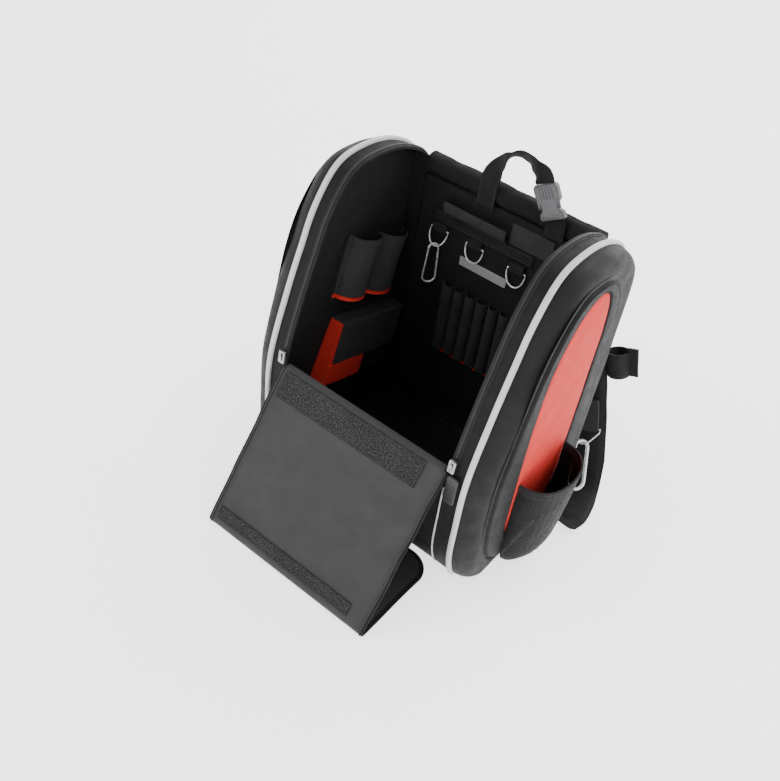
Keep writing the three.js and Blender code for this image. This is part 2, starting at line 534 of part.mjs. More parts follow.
// A wire bent along flat points in (x, y): rings of points round it, closed on itself if asked
function wire(points, radius, { sides = 6, closed = false } = {}) {
  const count = points.length, rings = points.map((p, i) => {
    const before = points[closed ? (i + count - 1) % count : Math.max(i - 1, 0)];
    const after = points[closed ? (i + 1) % count : Math.min(i + 1, count - 1)];
    const along = after.clone().sub(before).normalize();
    return Array.from({ length: sides }, (_, k) => {
      const turn = 2 * Math.PI * k / sides, out = radius * Math.cos(turn);
      return new THREE.Vector3(p.x - along.y * out, p.y + along.x * out, radius * Math.sin(turn));
    });
  });
  return closed ? closedLoft(rings) : loft(rings);
}
function closedLoft(rings) {
  const n = rings[0].length, faces = [];
  rings.forEach((_, r) => {
    for (let k = 0; k < n; k++) {
      const a = r * n + k, b = r * n + (k + 1) % n, step = (r + 1) % rings.length;
      const c = step * n + (k + 1) % n, d = step * n + k;
      faces.push(a, c, b, a, d, c);
    }
  });
  const geometry = new THREE.BufferGeometry().setFromPoints(rings.flat());
  geometry.setIndex(faces);
  return solid(geometry).volume() < 0 ? closedLoft(rings.map(ring => [...ring].reverse())) : geometry;
}
// D-ring hanging from its bar at the origin
function dRing() {
  const half = RING.width / 2 - RING.wire / 2, steps = 12;
  return wire(Array.from({ length: steps + 1 }, (_, i) => {
    const turn = Math.PI * i / steps;
    return new THREE.Vector2(-half * Math.cos(turn), -(RING.drop - RING.wire) * Math.sin(turn) ** 0.8);
  }), RING.wire / 2, { closed: true });
}
const ringBar = ({ top }) => top - GAP - RING_TAB.height + RING_TAB.depth / 2;
RING_TABS.forEach(ring => {
  const { x, top, index, lean } = ring, barZ = RING_TAB.depth / 2, barY = ringBar(ring);
  const slot = new THREE.CylinderGeometry(RING.wire / 2 + GAP, RING.wire / 2 + GAP, 2 * RING_TAB.width, 8)
    .rotateZ(Math.PI / 2).translate(x, barY, barZ);
  wall('ring_tab_' + index, cut(block(x - RING_TAB.width / 2, top - GAP - RING_TAB.height, 0,
    RING_TAB.width, RING_TAB.height, RING_TAB.depth), slot), BLACK);
  wall('d_ring_' + index, dRing().rotateX(-THREE.MathUtils.degToRad(lean))
    .translate(x, barY, barZ), STEEL, 0.25, 1);
});

// Snap hook: a bent wire body left open on one side and a sprung gate that closes the opening.
// Drawn hanging along -y with its top at the origin, thickness along z.
function snapHook(length, width, wireWidth, gateSpan) {
  const r = wireWidth / 2, topR = 0.32 * width, bottomR = 0.5 * width - r;
  const topY = -topR - r, bottomY = -length + bottomR + r;
  const arc = (cx, cy, radius, from, to, steps) => Array.from({ length: steps + 1 }, (_, i) => {
    const turn = THREE.MathUtils.degToRad(from + (to - from) * i / steps);
    return new THREE.Vector2(cx + radius * Math.cos(turn), cy + radius * Math.sin(turn));
  });
  const upper = arc(0, topY, topR, 195, -5, 8), lower = arc(0, bottomY, bottomR, 0, -175, 8);
  const gateTop = upper[0], gateBottom = lower.at(-1);
  const body = wire([...upper, ...lower], r, { sides: 8 });
  const gap = wireWidth * 0.15 + GAP;
  const along = gateBottom.clone().sub(gateTop).normalize();
  const from = gateTop.clone().addScaledVector(along, gap), to = gateBottom.clone().addScaledVector(along, -gap);
  const gate = wire([from, from.clone().lerp(to, gateSpan), to], r * 0.85, { sides: 8 });
  return { body, gate, hinge: to };
}
// The hook hangs from the first ring, whose lower bow stands off the panel
const SNAP_HOOK = { length: 73, width: 24, wire: 3.4, gateSpan: 0.5, turn: 50 };
const hookRing = RING_TABS[0], hookLean = THREE.MathUtils.degToRad(hookRing.lean);
const hookPlace = new THREE.Group();
hookPlace.name = 'snap_hook_place';
backWall.add(hookPlace);
hookPlace.position.set(hookRing.x,
  ringBar(hookRing) - (RING.drop - RING.wire) * Math.cos(hookLean) + RING.wire / 2 + 2 * GAP + SNAP_HOOK.wire,
  GAP + RING_TAB.depth / 2 + (RING.drop - RING.wire) * Math.sin(hookLean));
hookPlace.rotation.y = THREE.MathUtils.degToRad(SNAP_HOOK.turn);
{
  const hook = snapHook(SNAP_HOOK.length, SNAP_HOOK.width, SNAP_HOOK.wire, SNAP_HOOK.gateSpan);
  piece('snap_hook', hook.body, STEEL, 0.25, 1, hookPlace);
  piece('snap_hook_gate', hook.gate, STEEL, 0.25, 1, hookPlace);
}

// A flat strip along rows of points, each with the direction its width lies in
function strip(rows, width, thickness, steps = 4) {
  const curve = new THREE.CatmullRomCurve3(rows.map(r => r.at), false, 'centripetal');
  const total = (rows.length - 1) * steps, rings = [];
  for (let i = 0; i <= total; i++) {
    const t = i / total, k = Math.min(Math.floor(t * (rows.length - 1)), rows.length - 2);
    const f = t * (rows.length - 1) - k, p = curve.getPoint(t), along = curve.getTangent(t);
    const across = rows[k].across.clone().lerp(rows[k + 1].across, f);
    across.addScaledVector(along, -across.dot(along)).normalize();
    const face = new THREE.Vector3().crossVectors(along, across);
    const wide = (rows[k].wide ?? 1) * (1 - f) + (rows[k + 1].wide ?? 1) * f;
    const w = width * wide / 2, h = thickness / 2, c = Math.min(h, w) * 0.5;
    rings.push([[-w, -h + c], [-w + c, -h], [w - c, -h], [w, -h + c],
      [w, h - c], [w - c, h], [-w + c, h], [-w, h - c]].map(([a, b]) =>
      p.clone().addScaledVector(across, a).addScaledVector(face, b)));
  }
  return loft(rings);
}
const row = (x, y, z, ax, ay, az, wide) => ({
  at: new THREE.Vector3(x, y, z), across: new THREE.Vector3(ax, ay, az), wide });

// Carry handle on the roll: its left leg lies on the roll's front, the arch turns over on
// itself and ends in a fastened side-release buckle on a lower strap. In the table, across
// and up are shares of the span and the arch, out is how far a point stands off the roll.
const HANDLE = { width: 30, cloth: 2.2, left: -34, span: 98, arch: 60, below: 4 };
const BUCKLE = { width: 37, length: 50, thickness: 10, lean: 31, up: 19 };
const ARCH = [
  { across: 0.01, up: 0.2, out: 0, x: 1, y: 0, z: 0 },
  { across: 0.14, up: 0.67, out: -2, x: 0.8, y: -0.5, z: 0.3 },
  { across: 0.3, up: 0.93, out: -4, x: 0.4, y: -0.65, z: 0.6 },
  { across: 0.48, up: 1, out: -4, x: 0.1, y: -0.65, z: 0.75 },
  { across: 0.65, up: 0.92, out: 0, x: 0.4, y: -0.45, z: 0.8 },
];
const rollFront = ROLL.front - GAP - HANDLE.cloth / 2;
const buckleY = ROLL.front - GAP - BUCKLE.thickness / 2;
const buckleLean = THREE.MathUtils.degToRad(BUCKLE.lean);
const buckleAt = new THREE.Vector3(HANDLE.left + HANDLE.span, buckleY, ROLL.top + BUCKLE.up);
const buckleUp = new THREE.Vector3(-Math.sin(buckleLean), 0, Math.cos(buckleLean));
const buckleTop = buckleAt.clone().addScaledVector(buckleUp, BUCKLE.length / 2 + GAP);
const buckleFoot = buckleAt.clone().addScaledVector(buckleUp, -BUCKLE.length / 2 - GAP);
piece('handle_webbing', strip([
  row(HANDLE.left, rollFront, ROLL.bottom - HANDLE.below, 1, 0, 0),
  row(HANDLE.left, rollFront, (ROLL.bottom + ROLL.top) / 2, 1, 0, 0),
  ...ARCH.map(r => row(HANDLE.left + r.across * HANDLE.span, rollFront - r.out, ROLL.top + r.up * HANDLE.arch,
    r.x, r.y, r.z)),
  ...[0.3, 0].map(share => {
    const p = buckleTop.clone().addScaledVector(buckleUp, share * HANDLE.width);
    return row(p.x, p.y, p.z, buckleUp.z, 0, -buckleUp.x);
  }),
], HANDLE.width, HANDLE.cloth, 3), BLACK);
// Side-release buckle: the socket's shoulders, the waist where the prongs show, the plug's foot
const half = BUCKLE.width / 2, tall = BUCKLE.length / 2;
const buckle = piece('handle_buckle', extrude(new THREE.Shape([
  [-half, -tall], [half, -tall], [half, -0.6 * tall], [0.72 * half, -0.45 * tall], [0.72 * half, -0.1 * tall],
  [half, 0.1 * tall], [half, 0.85 * tall], [0.85 * half, tall], [-0.85 * half, tall], [-half, 0.85 * tall],
  [-half, 0.1 * tall], [-0.72 * half, -0.1 * tall], [-0.72 * half, -0.45 * tall], [-half, -0.6 * tall],
].map(([x, y]) => new THREE.Vector2(x, y))), BUCKLE.thickness).translate(0, 0, -BUCKLE.thickness / 2),
BUCKLE_GREY, 0.5);
buckle.position.copy(buckleAt);
buckle.quaternion.setFromRotationMatrix(new THREE.Matrix4().makeBasis(
  new THREE.Vector3(buckleUp.z, 0, -buckleUp.x), buckleUp, Y.clone().negate()));
piece('lower_webbing', strip([
  ...[0, 0.2].map(share => {
    const p = buckleFoot.clone().addScaledVector(buckleUp, -share * HANDLE.width);
    return row(p.x, p.y, p.z, buckleUp.z, 0, -buckleUp.x);
  }),
  row(buckleFoot.x + 4, rollFront, ROLL.bottom - HANDLE.below, 1, 0, 0),
], HANDLE.width, HANDLE.cloth), BLACK);

// Shoulder straps, behind the back panel, down and out to the floor beside the bag. In the
// table, out is a share of a shell's half width, back a share of STRAP_SPREAD behind the back
// panel's inner face, up a share of HEIGHT and wide a share of the strap's width.
const STRAP = { width: 66, thickness: 13 };
const STRAP_SPREAD = 80, STRAP_LIFT = 3.4;
const STRAP_ROWS = [
  { out: 0.41, back: 0.32, up: 0.855, wide: 1 }, { out: 0.44, back: 0.5, up: 0.79, wide: 1 },
  { out: 0.52, back: 0.83, up: 0.677, wide: 1 }, { out: 0.62, back: 0.975, up: 0.545, wide: 1 },
  { out: 0.725, back: 1, up: 0.424, wide: 1 }, { out: 0.82, back: 0.965, up: 0.303, wide: 1 },
  { out: 0.918, back: 0.875, up: 0.192, wide: 0.97 }, { out: 1.005, back: 0.725, up: 0.097, wide: 0.94 },
  { out: 1.07, back: 0.45, up: 0.034, wide: 0.9 }, { out: 1.13, back: 0.05, up: 0.018, wide: 0.88 },
  { out: 1.16, back: -0.35, up: 0.018, wide: 0.85 }, { out: 1.15, back: -0.62, up: 0.018, wide: 0.8 },
];
// Lower webbing: flat on the floor from the strap's end in to the shell's rounded lower edge,
// where it is sewn on. back is a share of STRAP_SPREAD, out a share of FACE_X.
const WEB = { width: 20, cloth: 1.5, lift: 0.8, back: -0.8 };
const WEB_ROWS = [
  { out: 1.12, rise: 0.004 }, { out: 1.06, rise: 0 }, { out: 1, rise: 0 }, { out: 0.937, rise: 0 },
];
function strapRows(side) {
  return STRAP_ROWS.map(r => row(side * r.out * FACE_X, r.back * STRAP_SPREAD,
    Math.max(r.up * HEIGHT, STRAP.thickness / 2 + STRAP_LIFT), 1, side * 0.12, 0, r.wide));
}
for (const [name, side] of [['left', -1], ['right', 1]]) {
  piece('shoulder_strap_' + name, strip(strapRows(side), STRAP.width, STRAP.thickness, 2), BLACK);
  piece('strap_webbing_' + name, strip(WEB_ROWS.map(r => row(side * r.out * FACE_X,
    WEB.back * STRAP_SPREAD, WEB.lift + WEB.cloth / 2 + r.rise * HEIGHT, 0, 1, 0)),
  WEB.width, WEB.cloth, 3), BLACK);
}

// What the right strap carries, on its front face: a grey patch, a three-sided ring below it
// and a snap hook in the ring. trim's y points up along the strap, its z off the strap's face.
const TRIM_ROW = 6;          // the patch lies between this row of the strap and the one above
const TRIM_PATCH = { width: 46, height: 56, thickness: 4 };
const TRI_RING = { height: 26, wire: 3, lean: 30 };
const CARABINER = { length: 84, width: 33, wire: 6, gateSpan: 0.5, turn: 40 };
const trimRows = strapRows(1), trimFoot = trimRows[TRIM_ROW].at;
const trimUp = trimRows[TRIM_ROW - 1].at.clone().sub(trimFoot).normalize();
const trimAcross = trimRows[TRIM_ROW].across.clone()
  .addScaledVector(trimUp, -trimRows[TRIM_ROW].across.dot(trimUp)).normalize();
const trimOut = new THREE.Vector3().crossVectors(trimAcross, trimUp);
const trim = new THREE.Group();
trim.name = 'strap_trim';
trim.setRotationFromMatrix(new THREE.Matrix4().makeBasis(trimAcross, trimUp, trimOut));
trim.position.copy(trimFoot).addScaledVector(trimOut, STRAP.thickness / 2 + 3 * GAP);
bag.add(trim);
const ringSlot = { drop: TRI_RING.wire, z: TRIM_PATCH.thickness / 2 };
const patchSlot = new THREE.CylinderGeometry(TRI_RING.wire / 2 + GAP, TRI_RING.wire / 2 + GAP,
  2 * TRIM_PATCH.width, 8).rotateZ(Math.PI / 2)
  .translate(0, ringSlot.drop + TRI_RING.wire / 2, ringSlot.z);
piece('strap_patch', cut(extrude(roundedRect(-TRIM_PATCH.width / 2, 0, TRIM_PATCH.width / 2,
  TRIM_PATCH.height, 6), TRIM_PATCH.thickness + 2 * GAP), patchSlot), GREY_CLOTH, 0.9, 0, trim);
const hanging = new THREE.Group();
hanging.name = 'ring_place';
hanging.position.set(0, ringSlot.drop + TRI_RING.wire / 2, ringSlot.z);
hanging.rotation.x = -THREE.MathUtils.degToRad(TRI_RING.lean);
trim.add(hanging);
const ringHalf = TRIM_PATCH.width / 2 + TRI_RING.wire;
piece('tri_ring', wire([[-ringHalf, 0], [-0.4 * ringHalf, 0], [0.4 * ringHalf, 0], [ringHalf, 0],
  [0.95 * ringHalf, -0.22 * TRI_RING.height], [0.3 * ringHalf, -0.95 * TRI_RING.height], [0, -TRI_RING.height],
  [-0.3 * ringHalf, -0.95 * TRI_RING.height], [-0.95 * ringHalf, -0.22 * TRI_RING.height]]
  .map(([x, y]) => new THREE.Vector2(x, y)), TRI_RING.wire / 2, { closed: true }), STEEL, 0.25, 1, hanging);
const clip = new THREE.Group();
clip.name = 'carabiner_place';
clip.position.y = -TRI_RING.height + TRI_RING.wire / 2 + 2 * GAP + CARABINER.wire;
clip.rotation.y = THREE.MathUtils.degToRad(CARABINER.turn);
hanging.add(clip);
{
  const hook = snapHook(CARABINER.length, CARABINER.width, CARABINER.wire, CARABINER.gateSpan);
  piece('carabiner', hook.body, STEEL, 0.25, 1, clip);
  piece('carabiner_gate', hook.gate, STEEL, 0.25, 1, clip);
}

// Accessory loop: a short sleeve of stiff webbing on the strap's outer edge, with its tab
const LOOP = { radius: 17, cloth: 2.5, height: 40, row: 4, tabWidth: 16, tabHeight: 46, tabThickness: 4 };
{
  const { at: middle, across } = strapRows(1)[LOOP.row];
  const fall = strapRows(1)[LOOP.row + 1].at.clone().sub(middle).normalize();
  const outward = across.clone().addScaledVector(fall, -across.dot(fall)).normalize();
  const place = new THREE.Group();
  place.name = 'accessory_loop_place';
  place.setRotationFromMatrix(new THREE.Matrix4().makeBasis(outward,
    new THREE.Vector3().crossVectors(fall.clone().negate(), outward), fall.clone().negate()));
  place.position.copy(middle).addScaledVector(outward, STRAP.width / 2 + 2 * GAP + LOOP.radius);
  bag.add(place);
  const tube = (radius, height) => new THREE.CylinderGeometry(radius, radius, height, 20).rotateX(Math.PI / 2);
  const tab = new THREE.BoxGeometry(LOOP.tabWidth, LOOP.tabThickness, LOOP.tabHeight)
    .translate(LOOP.radius + LOOP.tabWidth / 2 - LOOP.cloth, 0, LOOP.tabThickness);
  piece('accessory_loop', cut(join(tube(LOOP.radius, LOOP.height), tab),
    tube(LOOP.radius - LOOP.cloth, 2 * LOOP.height)), BLACK, 0.8, 0, place);
}

// Mesh side pocket on the right shell: an open-topped cup without a back, its hem on top.
// Rows from the bottom up, reach as a share of its depth and half as a share of its width.
const POCKET = { width: 122, depth: 52, bottom: 16, top: 178, cloth: 2.5, at: -133, hem: 14, floor: 3 };
const POCKET_ROWS = [
  { up: 0, reach: 0.5, half: 0.86 }, { up: 0.1, reach: 0.7, half: 0.94 },
  { up: 0.4, reach: 0.86, half: 0.99 }, { up: 1, reach: 1, half: 1 },
];
const POCKET_ARC = 12;
function pocketSolid(rows, less, from, behind) {
  return loft(rows.map(({ z, reach, half: share }) =>
    Array.from({ length: POCKET_ARC + 1 }, (_, i) => {
      const turn = Math.PI * i / POCKET_ARC;
      const wide = share * POCKET.width / 2 - less, deep = reach * POCKET.depth - less;
      return new THREE.Vector3(from + deep * Math.sin(turn) ** 0.75, POCKET.at - wide * Math.cos(turn), z);
    }).concat([new THREE.Vector3(behind, POCKET.at + share * POCKET.width / 2 - less, z),
      new THREE.Vector3(behind, POCKET.at - share * POCKET.width / 2 + less, z)])));
}
const pocketFrom = FACE_X + FRAME_RISE + GAP;
const pocketLevel = row => ({ ...row, z: POCKET.bottom + row.up * (POCKET.top - POCKET.hem - POCKET.bottom) });
const pocketRows = POCKET_ROWS.map(pocketLevel);
const hollowRows = [{ ...pocketRows[0], z: POCKET.bottom + POCKET.floor }, ...pocketRows.slice(1, -1),
  { ...pocketRows.at(-1), z: POCKET.top + POCKET.hem }];
const hollow = pocketSolid(hollowRows, POCKET.cloth, pocketFrom, pocketFrom - 2 * POCKET.cloth);
piece('mesh_pocket', cut(pocketSolid(pocketRows, 0, pocketFrom, pocketFrom - GAP / 2), hollow), BLACK);
const hemRows = [POCKET.top - POCKET.hem + GAP, POCKET.top].map(z => ({ ...pocketRows.at(-1), z }));
piece('pocket_hem', cut(pocketSolid(hemRows, -GAP, pocketFrom, pocketFrom - GAP / 2), hollow), BLACK);

export default bag;
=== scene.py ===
"""Looks of an open tool backpack: cloth, zips, stitching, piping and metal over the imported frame."""
import json
import math

import bmesh
import bpy
import numpy as np
from mathutils import Matrix, Vector, noise

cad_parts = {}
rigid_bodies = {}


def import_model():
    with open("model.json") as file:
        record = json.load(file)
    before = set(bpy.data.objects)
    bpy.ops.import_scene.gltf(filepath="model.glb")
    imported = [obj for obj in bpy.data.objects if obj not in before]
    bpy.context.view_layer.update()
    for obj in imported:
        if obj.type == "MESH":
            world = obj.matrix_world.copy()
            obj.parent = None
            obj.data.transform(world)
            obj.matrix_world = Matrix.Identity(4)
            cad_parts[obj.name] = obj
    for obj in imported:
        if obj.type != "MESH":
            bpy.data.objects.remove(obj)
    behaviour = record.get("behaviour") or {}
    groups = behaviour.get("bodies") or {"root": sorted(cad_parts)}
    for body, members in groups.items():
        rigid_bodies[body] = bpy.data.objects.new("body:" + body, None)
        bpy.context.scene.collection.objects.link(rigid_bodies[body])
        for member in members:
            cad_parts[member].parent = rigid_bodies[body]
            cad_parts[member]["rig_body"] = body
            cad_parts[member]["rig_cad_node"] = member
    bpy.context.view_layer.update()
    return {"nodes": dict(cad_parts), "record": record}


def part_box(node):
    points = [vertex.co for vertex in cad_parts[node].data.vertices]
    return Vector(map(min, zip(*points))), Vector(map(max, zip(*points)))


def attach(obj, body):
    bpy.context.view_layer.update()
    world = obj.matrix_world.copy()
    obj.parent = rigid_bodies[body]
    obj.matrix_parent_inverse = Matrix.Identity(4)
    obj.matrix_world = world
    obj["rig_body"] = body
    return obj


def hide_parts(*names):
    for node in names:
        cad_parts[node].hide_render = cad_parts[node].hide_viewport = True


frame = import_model()
NODES = frame["nodes"]
MM = 0.001
GAP = 0.3                     # millimetres between neighbouring pieces
noise.seed_set(7)             # unseeded, noise_vector differs from run to run


# Camera above the front, to its right
AZ, EL, ROLL = (math.radians(a) for a in (33.1, 40.9, 9.0))
TARGET, DISTANCE = Vector((-0.0191, -0.0830, 0.2000)), 1.3629
back = Vector((math.sin(AZ) * math.cos(EL), -math.cos(AZ) * math.cos(EL), math.sin(EL)))
flat = Vector((math.cos(AZ), math.sin(AZ), 0))
tall = back.cross(flat)
side = flat * math.cos(ROLL) + tall * math.sin(ROLL)
top = tall * math.cos(ROLL) - flat * math.sin(ROLL)
camera = bpy.data.objects.new("camera", bpy.data.cameras.new("camera"))
bpy.context.scene.collection.objects.link(camera)
camera.matrix_world = Matrix.Translation(TARGET + back * DISTANCE) @ Matrix(
    [[side[i], top[i], back[i]] for i in range(3)]).to_4x4()
camera.data.sensor_fit = "HORIZONTAL"
camera.data.sensor_width = 36
camera.data.lens = 947.3 / 780 * 36
bpy.context.scene.camera = camera


# Materials. Cloth takes its weave from the layer "cloth", which is in metres over each piece.
class Shader:
    def __init__(self, name):
        self.material = bpy.data.materials.new(name)
        self.material.use_nodes = True
        self.tree = self.material.node_tree
        self.tree.nodes.clear()
        self.out = self.tree.nodes.new("ShaderNodeOutputMaterial")
        self.surface = self.tree.nodes.new("ShaderNodeBsdfPrincipled")
        self.tree.links.new(self.surface.outputs[0], self.out.inputs[0])

    def node(self, kind, **given):
        n = self.tree.nodes.new("ShaderNode" + kind)
        inputs = given.pop("inputs", {})
        for k, v in given.items():
            setattr(n, k, v)
        for k, v in inputs.items():
            self.feed(n.inputs[k], v)
        return n

    def feed(self, socket, value):
        if isinstance(value, bpy.types.NodeSocket):
            self.tree.links.new(value, socket)
        elif isinstance(value, bpy.types.Node):
            self.tree.links.new(value.outputs[0], socket)
        else:
            socket.default_value = value

    def set(self, **inputs):
        for k, v in inputs.items():
            self.feed(self.surface.inputs[k.replace("_", " ")], v)

    def sum(self, a, b, how="ADD"):
        return self.node("Math", operation=how, inputs={0: a, 1: b})

    def where(self, cloth=True):
        if cloth:
            return self.node("UVMap", uv_map="cloth").outputs[0]
        return self.node("TexCoord").outputs["Object"]

    def noise(self, at, size, detail=3.0, rough=0.55):
        return self.node("TexNoise", inputs={"Vector": at, "Scale": 1 / size, "Detail": detail,
                                             "Roughness": rough}).outputs[0]

    def ramp(self, value, *stops):
        n = self.node("ValToRGB", inputs={0: value})
        e = n.color_ramp.elements
        while len(e) < len(stops):
            e.new(0.5)
        for el, (at, c) in zip(e, stops):
            el.position = at
            el.color = (*c, 1) if len(c) == 3 else c
        return n.outputs[0]

    def bump(self, height, depth, strength=1.0, after=None):
        n = self.node("Bump", inputs={"Height": height, "Distance": depth, "Strength": strength})
        if after is not None:
            self.feed(n.inputs["Normal"], after)
        return n.outputs[0]

    def threads(self, at, across, along):
        """Over and under of a weave with these thread pitches, from 0 to 1"""
        xyz = self.node("SeparateXYZ", inputs={0: at})
        waves = []
        for axis, pitch in ((0, across), (1, along)):
            scaled = self.sum(xyz.outputs[axis], 2 * math.pi / pitch, "MULTIPLY")
            waves.append(self.node("Math", operation="SINE", inputs={0: scaled}))
        both = self.sum(waves[0], waves[1], "MULTIPLY")
        return self.node("MapRange", inputs={0: both, 1: -1.0, 2: 1.0, 3: 0.0, 4: 1.0}).outputs[0]


def times(c, k):
    return tuple(min(1.0, v * k) for v in c)


def cloth(name, colour, pitch=0.0011, ribs=None, rough=0.72, bump=0.00035, mottle=0.3, sheen=0.25,
          specks=None):
    s = Shader(name)
    at = s.where()
    fine = s.threads(at, pitch, ribs or pitch)
    fuzz = s.noise(at, 0.0009, 2.0)
    blotch = s.noise(at, 0.035, 4.0)
    mix = s.sum(s.sum(fine, 0.45, "MULTIPLY"), s.sum(fuzz, 0.25, "MULTIPLY"))
    mix = s.sum(mix, s.sum(blotch, 0.55, "MULTIPLY"))
    colours = s.ramp(mix, (0.25, times(colour, 1 - mottle)), (0.62, colour),
                     (0.95, times(colour, 1 + 2.2 * mottle)))
    if specks:
        dots = s.noise(at, specks[0], 2.0, 0.8)
        mask = s.ramp(dots, (0.52, (0, 0, 0)), (0.6, (1, 1, 1)))
        m = s.node("Mix", data_type="RGBA", inputs={"Factor": mask})
        s.feed(m.inputs[6], colours)
        s.feed(m.inputs[7], (*specks[1], 1))
        colours = m.outputs[2]
    s.set(Base_Color=colours, Roughness=s.node("MapRange", inputs={
        0: s.noise(at, 0.02, 2.0), 1: 0.3, 2: 0.7, 3: rough - 0.07, 4: rough + 0.1}).outputs[0])
    s.set(Normal=s.bump(s.sum(fuzz, 0.6, "MULTIPLY"), bump * 0.7, after=s.bump(fine, bump)))
    s.set(Sheen_Weight=sheen, Sheen_Roughness=0.45, Specular_IOR_Level=0.18)
    s.set(Sheen_Tint=(*times(colour, 4), 1))
    return s.material


def metal(name, colour, rough, share):
    s = Shader(name)
    at = s.where(False)
    worn = s.noise(at, 0.004, 5.0)
    s.set(Base_Color=s.ramp(s.noise(at, 0.012), (0.3, times(colour, 0.82)), (0.7, colour)), Metallic=share,
          Roughness=s.node("MapRange", inputs={0: worn, 1: 0.3, 2: 0.7, 3: rough,
                                               4: rough + 0.16}).outputs[0],
          Normal=s.bump(s.noise(at, 0.0012, 3.0), 0.00003, 0.2))
    return s.material


def plastic(name, colour, rough=0.42, grain=0.0006, depth=0.00008):
    s = Shader(name)
    at = s.where(False)
    s.set(Base_Color=s.ramp(s.noise(at, 0.015), (0.3, times(colour, 0.85)), (0.75, times(colour, 1.12))),
          Roughness=s.node("MapRange", inputs={0: s.noise(at, 0.006), 1: 0.3, 2: 0.7, 3: rough - 0.06,
                                               4: rough + 0.12}).outputs[0],
          Normal=s.bump(s.noise(at, grain, 2.0), depth))
    return s.material


MAT = {
    "moulded": cloth("moulded_nylon", (0.0090, 0.0090, 0.0094), 0.0013, rough=0.58, bump=0.00028,
                     mottle=0.14, sheen=0.05),
    "band": cloth("band_nylon", (0.0085, 0.0085, 0.0089), 0.0012, rough=0.62, bump=0.0003, mottle=0.14,
                  sheen=0.05),
    "black": cloth("black_cloth", (0.010, 0.010, 0.0105), 0.0010, rough=0.8, mottle=0.16, sheen=0.08),
    "cover": cloth("cover_cloth", (0.040, 0.040, 0.0405), 0.0009, rough=0.52, bump=0.00018, mottle=0.12,
                   sheen=0.10),
    "grey": cloth("grey_cloth", (0.030, 0.030, 0.031), 0.0009, rough=0.7, mottle=0.25, sheen=0.2),
    "red": cloth("red_cloth", (0.60, 0.032, 0.024), 0.0011, rough=0.7, bump=0.0003, mottle=0.14, sheen=0.0),
    "webbing": cloth("webbing", (0.013, 0.013, 0.0135), 0.0024, ribs=0.0011, rough=0.68, bump=0.0005,
                     mottle=0.3),
    "grip": cloth("hook_and_loop", (0.020, 0.020, 0.0205), 0.0016, rough=0.85, bump=0.0008, mottle=0.45,
                  specks=(0.0022, (0.085, 0.085, 0.087))),
    "tape": cloth("zip_tape", (0.012, 0.012, 0.0125), 0.0022, ribs=0.0009, rough=0.6, bump=0.0004,
                  mottle=0.3),
    "strap": cloth("strap_cloth", (0.011, 0.011, 0.0115), 0.0012, rough=0.7, mottle=0.16, sheen=0.1),
    "piping": cloth("reflective_piping", (0.60, 0.61, 0.62), 0.0011, rough=0.38, bump=0.0002, mottle=0.1,
                    sheen=0.0),
    "label": cloth("bare_label", (0.30, 0.30, 0.295), 0.0009, rough=0.6, mottle=0.06),
    "thread": cloth("thread", (0.045, 0.045, 0.046), 0.0006, rough=0.6, bump=0.0001, mottle=0.2),
    "coil": plastic("zip_coil", (0.035, 0.035, 0.036), 0.35),
    "buckle": plastic("buckle_plastic", (0.075, 0.075, 0.078), 0.3),
    "rubber": plastic("pull_rubber", (0.018, 0.018, 0.019), 0.55, 0.0009, 0.00015),
    "chrome": metal("chrome", (0.80, 0.80, 0.81), 0.22, share=0.55),
    "nickel": metal("nickel", (0.34, 0.34, 0.35), 0.24, share=0.85),
}


# Floor, background and light
def stage():
    half, deep, rise, bend = 8.0, 3.0, 4.0, 1.2
    line = [(-6, 0), (deep - bend, 0)]
    line += [(deep - bend + bend * math.sin(a * math.pi / 24), bend - bend * math.cos(a * math.pi / 24))
             for a in range(1, 13)] + [(deep, rise)]
    verts = [(x, y, z - 0.0004) for x in (-half, half) for y, z in line]
    n = len(line)
    mesh = bpy.data.meshes.new("floor")
    mesh.from_pydata(verts, [], [(i, n + i, n + i + 1, i + 1) for i in range(n - 1)])
    floor = bpy.data.objects.new("floor", mesh)
    bpy.context.scene.collection.objects.link(floor)
    s = Shader("pale_floor")
    at = s.where(False)
    s.set(Base_Color=s.ramp(s.noise(at, 0.6), (0.3, (0.93, 0.93, 0.935)), (0.7, (0.95, 0.95, 0.955))),
          Roughness=0.9,
          Emission_Color=(1.0, 1.0, 1.0, 1), Emission_Strength=1.7,
          Specular_IOR_Level=0.1)
    mesh.materials.append(s.material)
    mesh.shade_smooth()
    world = bpy.data.worlds.new("studio")
    bpy.context.scene.world = world
    world.use_nodes = True
    world.node_tree.nodes["Background"].inputs[0].default_value = (0.95, 0.97, 1.0, 1)
    world.node_tree.nodes["Background"].inputs[1].default_value = 0.85

    def lamp(name, at, aim, size, power):
        data = bpy.data.lights.new(name, "AREA")
        data.shape, data.size, data.size_y, data.energy = "RECTANGLE", size[0], size[1], power
        o = bpy.data.objects.new(name, data)
        bpy.context.scene.collection.objects.link(o)
        o.location = at
        o.rotation_euler = (Vector(aim) - Vector(at)).to_track_quat("-Z", "Y").to_euler()
    lamp("key", (-1.3, -1.5, 2.4), (0, -0.05, 0.2), (1.6, 1.6), 42)
    lamp("fill", (2.2, -0.9, 1.5), (0, 0, 0.25), (1.4, 2.0), 26)
    lamp("rim", (0.6, 2.1, 2.0), (0, 0, 0.3), (2.2, 1.2), 24)


stage()


# Meshes
def finish_piece(obj, material, body="bag", node=None, sharp=38):
    obj.data.materials.clear()
    obj.data.materials.append(MAT[material])
    obj.data.shade_smooth()
    obj.data.set_sharp_from_angle(angle=math.radians(sharp))
    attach(obj, body)
    if node:
        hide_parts(node)
    return obj


def link(name, mesh):
    obj = bpy.data.objects.new(name, mesh)
    bpy.context.scene.collection.objects.link(obj)
    return obj


